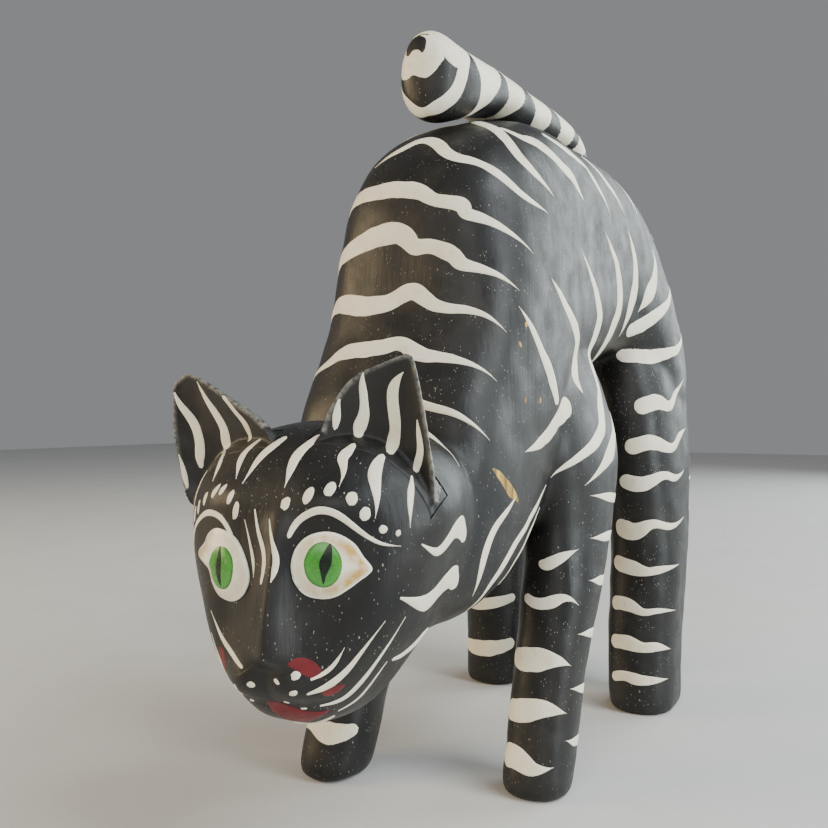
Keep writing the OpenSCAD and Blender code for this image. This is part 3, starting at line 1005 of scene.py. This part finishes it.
def build_eye(side, word):
    """A shallow cream dome let into the face, then the iris and the pupil painted on it."""
    shape, (a, z) = EYE_SHAPES[side], EYE_AT[side]
    dome = share_layer(word + "_eye_dome", head_chart, a, z, round_shape(shape["almond"], 6),
                       lambda t: DOME_RIM + DOME_RISE * (1 - t ** 2.4), 2.0, EYE_CREAM, 12)
    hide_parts(word + "_eye")
    skin = Chart(tree(dome), round_head)
    cx, cz, rx, rz = shape["iris"]
    iris = [(x + cx, y + cz) for x, y in oval(rx, rz, 0.03, 48)]
    share_layer(word + "_iris", skin, a, z, iris, lambda t: 0.09 if t < 1 else 0.02, 0.2, IRIS)
    share_layer(word + "_pupil", skin, a, z, round_shape(shape["pupil"], 5),
                lambda t: 0.16 if t < 1 else 0.1, 0.1, PUPIL)


for side, word in SIDES:
    build_eye(side, word)


# ------------------------------------------------------------------ stripes and marks
# Each stroke is (chart points, widths in mm). Back points are (station, angle), with 90 at the spine.
BACK = [
    ([(7.85, 108), (7.75, 99), (7.65, 93), (7.7, 86), (7.9, 78), (7.9, 67), (7.9, 60), (7.85, 49),
      (7.6, 36)],
     [0, 3.2, 3.8, 4.3, 3.8, 2.7, 3, 2.4, 0]),
    ([(7.8, 146), (8, 124), (8.15, 106), (8.2, 89), (8.25, 83), (8.3, 78), (8.3, 69), (8.35, 64),
      (8.15, 36)],
     [0, 4.5, 5.2, 5.5, 4.6, 3.9, 4.5, 3.4, 0]),
    ([(8.3, 152), (8.4, 134), (8.5, 118), (8.5, 104), (8.5, 91), (8.6, 85), (8.6, 78), (8.65, 69), (8.7, 62),
      (8.55, 39)],
     [0, 3.5, 5.4, 6.5, 6.5, 5, 4.4, 4.8, 3.4, 0]),
    ([(8.65, 154), (8.8, 136), (8.85, 124), (9, 108), (9, 95), (8.9, 84), (9, 76), (9.05, 69), (9, 55),
      (8.95, 40)],
     [0, 2.2, 5.4, 6.5, 5.6, 5.2, 4.4, 3.4, 2, 0]),
    ([(9.4, 146), (9.5, 127), (9.45, 116), (9.45, 104), (9.45, 93), (9.4, 84), (9.5, 74), (9.5, 62),
      (9.4, 36)],
     [0, 2.4, 4.8, 5.4, 5.2, 4.5, 4.8, 3.2, 0]),
    ([(10, 104), (10.05, 90), (10, 78), (10.15, 62), (10.15, 47), (10, 27)], [0, 3, 3.4, 2.6, 1.9, 0]),
    ([(10.7, 96), (10.8, 76), (10.8, 58), (11.2, 33)], [0, 2.2, 1.6, 0]),
]
# Drawn once on each side of the spine.
HAUNCH_TOP = [
    ([(6.9, 89), (7.25, 77), (7.4, 68), (7.5, 62), (7.55, 54), (7.35, 38)], [1.9, 3.5, 3.8, 3.4, 3.2, 0]),
    ([(7.3, 70), (7.25, 62), (7.1, 57), (6.9, 46), (6.75, 41), (6.5, 29)], [1.3, 2.6, 3.8, 3.5, 3.2, 0]),
    ([(6.85, 60), (6.55, 53), (6.1, 49), (6, 41), (5.75, 22)], [1.5, 2.9, 2.9, 2.4, 0]),
    ([(5.8, 58), (5.6, 45), (5.45, 37), (5.25, 25)], [1.3, 2.8, 2, 0]),
    ([(5, 64), (4.9, 52), (4.8, 42), (4.7, 30)], [1.3, 3, 2.4, 0]),
    ([(4.3, 66), (4.2, 54), (4.15, 44), (4.1, 30)], [1.3, 3.4, 2.8, 0]),
]
# Down the back of the haunches: one stripe across each level, wide in the middle.
HAUNCH_BACK = [
    ([(3.7, 138), (3.6, 118), (3.45, 100), (3.5, 86), (3.4, 72), (3.6, 58), (3.7, 40)],
     [0, 3.6, 5, 5.6, 5, 3.4, 0]),
    ([(3.1, 146), (2.9, 124), (2.95, 106), (2.8, 92), (2.85, 76), (3, 56), (3.05, 34)],
     [0, 4, 5, 5.8, 5, 3.6, 0]),
    ([(2.5, 152), (2.35, 124), (2.2, 106), (2.25, 88), (2.15, 74), (2.35, 52), (2.5, 28)],
     [0, 3.6, 5, 6, 5, 4, 0]),
    ([(1.8, 154), (1.65, 126), (1.7, 104), (1.5, 90), (1.55, 72), (1.7, 54), (1.8, 26)],
     [0, 3.6, 5, 5.8, 5, 3.6, 0]),
]
# On a flank the points are (how far back, how high).
FLANK = [
    ([(-48, 149), (-42, 143), (-36, 137), (-29, 130), (-23, 121)], [0, 1.7, 2.4, 3.4, 2.4]),
    ([(-11, 122), (-16, 119), (-26, 113), (-36, 109), (-46, 107)], [4.2, 5.3, 3.9, 2.4, 0]),
    ([(-28, 160), (-20, 155), (-10, 149), (-1, 143), (-1, 137), (-3, 131), (-1, 125)],
     [0, 2, 3.2, 4.6, 5.2, 4.2, 0.5]),
    ([(-1, 173), (12, 164), (20, 156), (23, 149), (19, 137), (17, 127), (12, 119), (5, 111), (-14, 103),
      (-20, 98)],
     [0, 2.2, 3.6, 5, 4.4, 2.6, 4.6, 3.6, 1.8, 0]),
    ([(22, 183), (35, 175), (41, 167), (44, 158), (42, 150), (40, 143), (40, 134)],
     [0, 2.4, 3.6, 4.6, 5.2, 4.4, 0]),
    ([(49, 189), (55, 181), (57, 173), (57, 165), (55, 158), (54, 148)], [0, 2.2, 3.2, 4, 3.4, 0]),
    ([(28, 119), (25, 112), (13, 105), (2, 100), (-9, 95)], [0, 3.4, 4.4, 2, 0]),
    ([(79, 187), (78, 179), (75, 172), (69, 166), (62, 158)], [0, 2.2, 4, 5, 0]),
    ([(100, 174), (89, 165), (77, 159), (66, 153), (58, 150)], [0, 2.2, 3.6, 4.6, 4.2]),
    ([(107, 154), (95, 146), (84, 143), (74, 141), (66, 142)], [0, 2.2, 3.4, 4.6, 4.6]),
    ([(-53, 95), (-58, 91), (-64, 87), (-68, 82), (-69, 76), (-69, 69)], [0, 1.4, 1.9, 2.5, 1.9, 0]),
    ([(-25, 96), (-34, 90), (-45, 84), (-53, 78), (-60, 71), (-65, 64)], [0, 1.9, 1.9, 2.4, 1.9, 0]),
    ([(-25, 89), (-31, 85), (-38, 80), (-44, 75), (-51, 69)], [0, 1.6, 2, 1.7, 0]),
    ([(-106, 88), (-99, 85), (-93, 90), (-87, 90), (-82, 86)], [0.3, 2, 3.6, 4.2, 2.4]),
    ([(-110, 76), (-104, 74), (-97, 73), (-91, 76), (-84, 77), (-79, 73)], [0.4, 2.2, 4.4, 4.4, 4.8, 2.6]),
    ([(-105, 60), (-98, 60), (-92, 62), (-86, 63)], [0.8, 1.8, 2.4, 1.5]),
]
# On a leg the points are (height, angle), with 0 outward, 90 to the front and 180 inward.
HIND_LEG = [
    ([(133, -18), (126, 20), (121, 42), (123, 60), (120, 80)], [0, 2.6, 3.6, 5.4, 5.6]),
    ([(112, -22), (109, 16), (104, 45), (107, 70), (104, 90)], [0, 2.6, 3.2, 5.2, 5.4]),
    ([(95, 6), (92, 40), (94, 60), (90, 80), (92, 98)], [0, 2.4, 3, 5.2, 5]),
    ([(76, 10), (73, 50), (75, 72), (71, 90), (74, 110)], [0, 2.2, 3.2, 6, 6.2]),
    ([(58, 28), (57, 60), (56, 75), (57, 92), (59, 118)], [0, 2.4, 3, 5, 5.2]),
    ([(40, 30), (41, 62), (40, 80), (43, 98), (42, 122)], [0, 1.8, 2.6, 4.6, 4.6]),
    ([(25, 36), (27, 64), (26, 77), (28, 97), (27, 122)], [0, 3.2, 3.4, 5, 4.4]),
    ([(14, 42), (14, 66), (14, 86), (15, 101), (13, 120)], [0, 2.6, 3.8, 3.5, 3.2]),
]
FRONT_LEG = [
    ([(71, 96), (70, 88), (73, 76), (75, 62)], [2.2, 3.4, 2.6, 0]),
    ([(60, 114), (58, 98), (59, 82), (61, 69), (58, 52)], [2.4, 3, 3.4, 1.9, 0]),
    ([(41, 134), (41, 104), (42, 84), (42, 66), (40, 44)], [4.4, 6.6, 6, 3.4, 0]),
    ([(25, 138), (26, 102), (28, 74), (26, 40)], [5.4, 6.2, 4.6, 0]),
    ([(11, 138), (13, 108), (10, 84), (11, 52)], [5.8, 6.2, 4.4, 0]),
]
LEG_BACK_HEIGHTS = (90, 77, 63, 47, 31, 16)
CHIP = [(-7.5, 5.4), (-4, 4.4), (-1, 2.6), (2, 0.8), (6.5, -2.8), (8, -5), (4, -3.8), (1.5, -3), (-1, -1),
        (-3, 0.8), (-5.5, 3)]


def draw(paint, chart, strokes, shake=None, wobble=0.10, bolder=1.0):
    """A list of strokes, shaken a little and made bolder where asked."""
    for path, widths in strokes:
        stroke(paint, chart, shaken(path, shake) if shake else path, [w * bolder for w in widths], wobble)


def over_spine(strokes):
    """The same strokes on the other side of the spine."""
    return [([(s, 180 - q) for s, q in path], widths) for path, widths in strokes]


def paint_body():
    marks = Paint("back_stripes", "body", "white_paint", CREAM)
    draw(marks, body_chart, BACK)
    draw(marks, body_chart, HAUNCH_TOP, bolder=1.25)
    draw(marks, body_chart, over_spine(HAUNCH_TOP), (0.05, 3), bolder=1.25)
    draw(marks, body_chart, HAUNCH_BACK, (0.02, 1))
    marks.finish()
    for side, word in SIDES:
        marks = Paint(word + "_flank_stripes", "body", "white_paint", CREAM)
        draw(marks, flank_charts[side], FLANK, None if side > 0 else (1.5, 1.5), bolder=1.35)
        marks.finish()


def chip_flank():
    """Paint knocked off the left shoulder, down to the yellow wood."""
    bare = Paint("chipped_shoulder", "body", "bare_wood", CHIPPED)
    patch(bare, flank_charts[1], -59, 98, round_shape(CHIP, 4), top=0.07, rings=8)
    for y, z in ((-45, 144), (-48, 138), (-46, 122), (-36, 122)):
        patch(bare, flank_charts[1], y, z, oval(0.6, 0.9, 0.3), rng.uniform(-40, 40), top=0.07)
    bare.finish()


def paint_leg(word, strokes, shake, back_width, back_from, back_to):
    """A leg's own strokes, and plain ones across its back from one angle to another, shorter lower down."""
    marks = Paint(word + "_leg_stripes", "body", "white_paint", CREAM)
    draw(marks, leg_charts[word], strokes, shake, bolder=1.15)
    for z in LEG_BACK_HEIGHTS:
        end = back_to - 18 * (1 - z / 90)
        path = [(z - 1, back_from), (z + 0.5, back_from * 0.4 + end * 0.6), (z + 1.5, end)]
        stroke(marks, leg_charts[word], shaken(path, (0.8, 4)), [back_width, back_width * 0.95, 0])
    marks.finish()


paint_body()
chip_flank()
paint_leg("front_left", FRONT_LEG, None, 3.2, -60, 50)
paint_leg("front_right", FRONT_LEG[:3] + [([(30, 60), (29, 90), (30, 125)], [2.5, 5, 3]),
                                          ([(15, 50), (16, 72), (15, 102), (17, 138)], [0, 3.2, 6, 3])],
          (1, 4), 3.2, -60, 50)
paint_leg("hind_left", HIND_LEG, None, 4.6, -110, -28)
paint_leg("hind_right", HIND_LEG[:4] + [([(36, 30), (36, 80), (37, 136)], [2.4, 4.5, 3]),
                                        ([(17, 40), (17, 85), (18, 134)], [3, 6, 4])],
          (2, 5), 4.6, -110, -28)

# On the head the points are (angle from the nose toward its left, height).
FACE = [
    ([(20, 113), (12, 110.5), (6.5, 108.5), (6, 105), (5, 101)], [1.5, 2.6, 2.9, 2, 0]),
    ([(44, 111), (38, 109), (34, 107.5), (36, 105.5), (32, 101.5)], [1.4, 2.6, 2.5, 1.4, 0]),
    ([(57, 108.5), (51, 106), (48, 103), (48, 100), (46, 94.5)], [1.6, 2.9, 3.1, 1.9, 0]),
    ([(66, 103.5), (63, 100), (61, 97), (60, 92)], [0.6, 1.8, 1.3, 0]),
    ([(10, 90), (13, 93.5), (20, 96), (26, 96.5), (32, 95.3), (38, 92.5), (44, 90), (49, 88.6), (56, 88)],
     [1, 1.6, 1.7, 1.7, 1.6, 1.3, 1, 0.7, 0]),
    ([(-14, 93.5), (-10, 88), (-7.5, 84), (-7, 80.5)], [0, 0.6, 0.9, 0]),
    ([(-9, 96), (-5.5, 90.5), (-1, 86.5), (0, 83), (-1, 79.5)], [0.3, 1, 1.5, 1.8, 1.4]),
    ([(0, 94), (3, 89.5), (6, 86), (6, 83), (5, 80.5)], [0.2, 0.9, 1.5, 1.5, 0.3]),
    ([(-12, 112.5), (-17, 110), (-20, 107), (-20, 101.5)], [1.6, 2.6, 2, 0]),
    ([(-36, 112), (-37, 109), (-35, 107), (-26, 102.5)], [1, 2, 2.1, 0]),
    ([(-59, 108.5), (-50, 105.5), (-43, 101.5)], [0.6, 1.6, 0]),
    ([(-64, 103.5), (-63, 100), (-60, 94)], [1.5, 1.3, 0]),
    ([(-58, 82), (-55, 88.5), (-45, 92.8), (-36, 94.5), (-28, 93.6), (-23, 91), (-20, 88)],
     [0.3, 0.9, 1.3, 1.5, 1.5, 1.3, 0.9]),
]
WHISKERS = [
    ([(20, 58.5), (27, 60), (31, 62.5), (34, 65.5)], [0.6, 1.1, 0.8, 0]),
    ([(18, 55), (27, 56.5), (35, 59.5), (42, 64.5), (51, 71)], [0.7, 2, 1.7, 0.9, 0]),
    ([(23, 51), (35, 52), (43, 55.5), (52, 62), (62, 71)], [0.5, 1.5, 1.6, 0.9, 0]),
    ([(33, 48.5), (46, 51), (52, 55.5), (58, 60)], [0.3, 0.9, 0.8, 0.2]),
    ([(-10, 60), (-19, 62.5), (-28, 65.5), (-35, 71)], [0.8, 1.4, 1, 0]),
    ([(-25, 56), (-31, 60), (-36, 65.5)], [0.3, 0.8, 0]),
    ([(-21, 53.5), (-29, 55.5), (-38, 60)], [0.2, 0.5, 0]),
]
LIP = ([(3, 44.8), (12, 44.4), (22, 45.5), (31, 47.2)], [0.2, 0.4, 1.1, 0.3])
# Dabs: (angle, height, half width, half height, turn).
BROW_DABS = [
    (7, 97.5, 1.2, 1.6, -14), (18, 99.5, 1.2, 2.1, -14), (28, 101, 1.35, 2, -14), (37, 99, 1.3, 1.7, -18),
    (42, 95.5, 1.2, 1.6, -22), (49, 92, 1, 1, -30), (55, 91, 0.6, 0.8, -30),
    (-19, 95.5, 0.8, 2.2, -12), (-23, 98.5, 0.8, 1.8, -12), (-30, 100, 0.8, 1.5, -14),
    (-35, 99.5, 0.9, 2, -14), (-42, 97.5, 0.8, 1.8, -8), (-49, 95, 0.6, 1.7, 0), (-55, 93, 0.6, 2, 0),
]
MUZZLE_DABS = [
    (14, 59.5, 1.2, 1, 30), (-6, 56.5, 1, 0.8, 0), (6, 58, 0.9, 0.5, -40), (13, 55.5, 1, 0.8, 30),
    (-16, 55, 0.5, 0.8, 0), (-14, 51, 0.8, 0.4, 0), (-21, 52, 0.4, 0.4, 0), (8, 52.5, 0.7, 0.3, -30),
    (15, 50.5, 0.8, 0.25, 0),
]
MUZZLE_BLACK = [(-15, -1.5), (-13, 2.6), (-8, 3.4), (-3, 5.8), (1.2, 7.2), (4, 6.2), (7, 4.4), (12, 4.2),
                (14.5, 1.5), (15, -2.5), (13, -5.5), (5, -5.2), (-3, -5.4), (-10, -5.4)]
NOSE_PATCH = [(-3.6, 1.4), (-1, 2.6), (2.2, 1.6), (4.2, -0.8), (4, -2.6), (2, -2.4), (-0.4, -1.2)]
CHEEK_PATCH = [(-2.6, 0.6), (0, 1.5), (3, 1.3), (1.6, -0.8), (-1.6, -1.6)]
LEFT_OUT_PATCH = [(-1, 3), (1.2, 2), (1.6, -1.4), (0.2, -3.4), (-1, -1)]
MOUTH = [(-6.4, 3.2), (-4, 4.2), (-1, 3.8), (1.6, 2.8), (4, 1.4), (6.6, 0.2), (9, -0.6), (5.4, -2.6),
         (1.6, -3.7), (-1.8, -3.7), (-4.8, -1.4)]


def paint_face():
    muzzle = Paint("black_muzzle", "body", "black_paint", BLACK_SMOOTH)
    patch(muzzle, head_chart, -1, 56, round_shape(MUZZLE_BLACK, 5), top=0.05, rings=12)
    muzzle.finish()
    red = Paint("red_marks", "body", "red_paint", RED)
    patch(red, head_chart, 17, 61, round_shape(NOSE_PATCH, 5), top=0.09)
    patch(red, head_chart, 29, 55, round_shape(CHEEK_PATCH, 5), top=0.09)
    patch(red, head_chart, -27, 60, round_shape(LEFT_OUT_PATCH, 5), top=0.09)
    patch(red, head_chart, 9, 48, round_shape(MOUTH, 5), top=0.3, rings=6)
    red.finish()
    marks = Paint("face_marks", "body", "white_paint", CREAM)
    draw(marks, head_chart, FACE, wobble=0.12)
    draw(marks, head_chart, WHISKERS, wobble=0.08)
    for a, z, rx, ry, turn in BROW_DABS + MUZZLE_DABS:
        patch(marks, head_chart, a, z, oval(rx, ry, 0.2), turn, top=0.2)
    stroke(marks, head_chart, *LIP, top=0.35)
    marks.finish()


# On an ear the points are mm outward from the middle of its base, and mm up.
EAR_STROKES = {1: [
    ([(-15.8, 9.8), (-15.4, 7.7), (-14.2, 5.7), (-13.3, 2.7)], [0.6, 1.4, 2, 1.2]),
    ([(-14, 18.1), (-13, 15.4), (-10.5, 12), (-8.8, 9), (-9, 6.2), (-7.6, 4)],
     [0.4, 1.7, 2, 2.8, 3.2, 1.8]),
    ([(-5.9, 23.1), (-6.6, 19.8), (-5.3, 16.1), (-2.8, 13.1), (-0.6, 10.2), (0, 7), (1.2, 4.8)],
     [0.3, 2.3, 2.9, 2.9, 2.8, 3.2, 1.8]),
    ([(2.7, 15.2), (4, 13.2), (6.2, 10.8), (7.8, 8.4), (7.6, 6.1), (8.9, 4.4)],
     [0.3, 1.2, 1.8, 2, 2.2, 1.4]),
], -1: [
    ([(-2.7, 23.4), (-2.1, 19.6), (-2.3, 14.6), (-2.4, 9.7), (-0.4, 6.7), (0.3, 3.5)],
     [0.3, 1.5, 2.2, 2.7, 3.1, 1.7]),
    ([(-9, 15.2), (-9.6, 11.4), (-10.2, 7.5), (-10.4, 4.4), (-8.9, 1.7)], [1.3, 1.8, 1.9, 2.2, 0.6]),
    ([(5.8, 25.3), (6.4, 21.6), (5.4, 17.8), (5.6, 14.3), (6.6, 10), (8.6, 7.6), (9.4, 4.2)],
     [0.6, 1.8, 2.4, 2.8, 2.8, 2.7, 1.2]),
    ([(13, 10.5), (13.6, 7.1), (14.2, 3.9), (14.6, 1.2)], [0.3, 1.2, 1.5, 0.8]),
]}

paint_face()
for side, word in SIDES:
    marks = Paint(word + "_ear_stripes", word + "_ear_plug", "white_paint", CREAM)
    draw(marks, ear_charts[side], EAR_STROKES[side])
    marks.finish()


# ------------------------------------------------------------------ tail
# On the tail the points are (station, angle), with 90 on top, 0 to the left and -90 underneath.
# A band is (middle on top, middle underneath, width on top, width underneath), as distances back.
TAIL_BANDS = [(-20, -24, 20, 2.5), (-1, -2, 21, 2.5), (22, 24, 25, 3), (46, 48, 23, 3), (64, 58, 12, 2)]
TIP_RING = ([(2.75, 90), (2.8, 45), (2.5, 20), (2.32, -15), (2.05, -48), (1.68, -68), (1.5, -86),
             (1.55, -100), (1.5, -118), (1.8, -150), (2.3, -180), (2.6, -220), (2.75, -270)],
            [3, 3.6, 4.4, 4.6, 4.8, 4.6, 3.2, 4.4, 4.6, 4, 3.6, 3.2, 3])
TIP_CAP = [(0, 12), (5.5, 11.5), (9.2, 8), (10.4, 3), (8.6, 0.8), (5, -2.2), (2.4, -3.6), (0, -3),
           (-2.4, -2), (-5, -2.8), (-9.2, -1.2), (-9.6, 4), (-6.5, 9.5)]
TIP_SPOT = [(-4.6, -1.2), (-4.2, 1.6), (-1.8, 3.8), (1.2, 4), (3.6, 2.2), (3.8, -1.2), (2.8, -2.8),
            (1.6, -1.6), (-1, -1.2), (-3, -2.6)]


def tail_band(paint, y_top, y_low, width_top, width_low):
    """A ring of paint round the tail, broad on top and narrow underneath, where its two ends meet."""
    path, widths = [], []
    for i in range(17):
        q = 360 * i / 16 - 90
        low = (0.5 - 0.5 * math.sin(math.radians(q))) ** 1.3
        y = y_top + (y_low - y_top) * low + rng.uniform(-0.6, 0.6)
        path.append((station_at(TAIL, 1, y), q))
        widths.append(width_top + (width_low - width_top) * low + rng.uniform(-0.5, 0.5))
    path[-1], widths[-1] = (path[0][0], 270), widths[0]
    stroke(paint, tail_chart, path, widths, 0.06, step=1.0)


def paint_tail():
    marks = Paint("tail_bands", "tail_plug", "white_paint", CREAM)
    patch(marks, tip_chart, -1.5, 225, round_shape(TIP_CAP, 6), rings=12)
    for angle, size in ((90, 8), (58, 8), (34, 5.5)):
        patch(marks, tail_chart, 2.1, angle, oval(size, size, 0.05), rings=12)
    stroke(marks, tail_chart, *TIP_RING, 0.08)
    for band in TAIL_BANDS:
        tail_band(marks, *band)
    marks.finish()
    spot = Paint("tail_spot", "tail_plug", "black_paint", BLACK_SMOOTH)
    patch(spot, tip_chart, -3.0, 231.8, round_shape(TIP_SPOT, 6), top=0.3, rings=6)
    spot.finish()


paint_tail()


# ------------------------------------------------------------------ stage
def build_stage():
    far = 2500
    corners = [(-far, -far, 0), (far, -far, 0), (far, far, 0), (-far, far, 0)]
    floor = new_object("floor", corners, [(0, 1, 2, 3)])
    floor.data.materials.append(floor_material())


def area_light(name, place, target, size, power, colour):
    data = bpy.data.lights.new(name, "AREA")
    data.shape = "RECTANGLE"
    data.size, data.size_y = size
    data.energy, data.color = power, colour
    lamp = bpy.data.objects.new(name, data)
    lamp.location = place
    lamp.rotation_mode = "QUATERNION"
    lamp.rotation_quaternion = (Vector(target) - Vector(place)).to_track_quat("-Z", "Y")
    bpy.context.scene.collection.objects.link(lamp)


def build_camera():
    data = bpy.data.cameras.new("camera")
    data.sensor_width, data.lens = 36, 38.6
    data.clip_start, data.clip_end = 0.01, 50
    cam = bpy.data.objects.new("camera", data)
    cam.location = (0.134, -0.284, 0.118)
    cam.rotation_euler = (math.radians(90), 0, math.radians(30))
    bpy.context.scene.collection.objects.link(cam)
    bpy.context.scene.camera = cam


def build_light():
    world = bpy.data.worlds.new("studio")
    world.use_nodes = True
    background = world.node_tree.nodes["Background"].inputs
    background["Color"].default_value = (0.80, 0.82, 0.85, 1)
    background["Strength"].default_value = 0.30
    bpy.context.scene.world = world
    centre = (0, 0, 0.12)
    area_light("window", (0.62, 1.15, 0.62), centre, (1.1, 1.0), 18, (0.88, 0.97, 0.98))
    area_light("sky", (0.85, -0.05, 1.0), centre, (0.7, 0.7), 12, (0.90, 0.97, 1.0))
    area_light("side", (1.1, -0.05, 0.30), centre, (0.35, 0.5), 8, (0.90, 0.97, 1.0))
    area_light("warm_fill", (-0.9, -0.6, 0.45), centre, (0.6, 0.6), 9, (1.0, 0.76, 0.44))
    area_light("front_fill", (0.3, -1.2, 0.7), centre, (1.0, 0.8), 7, (1.0, 0.97, 0.92))


build_stage()
build_camera()
build_light()
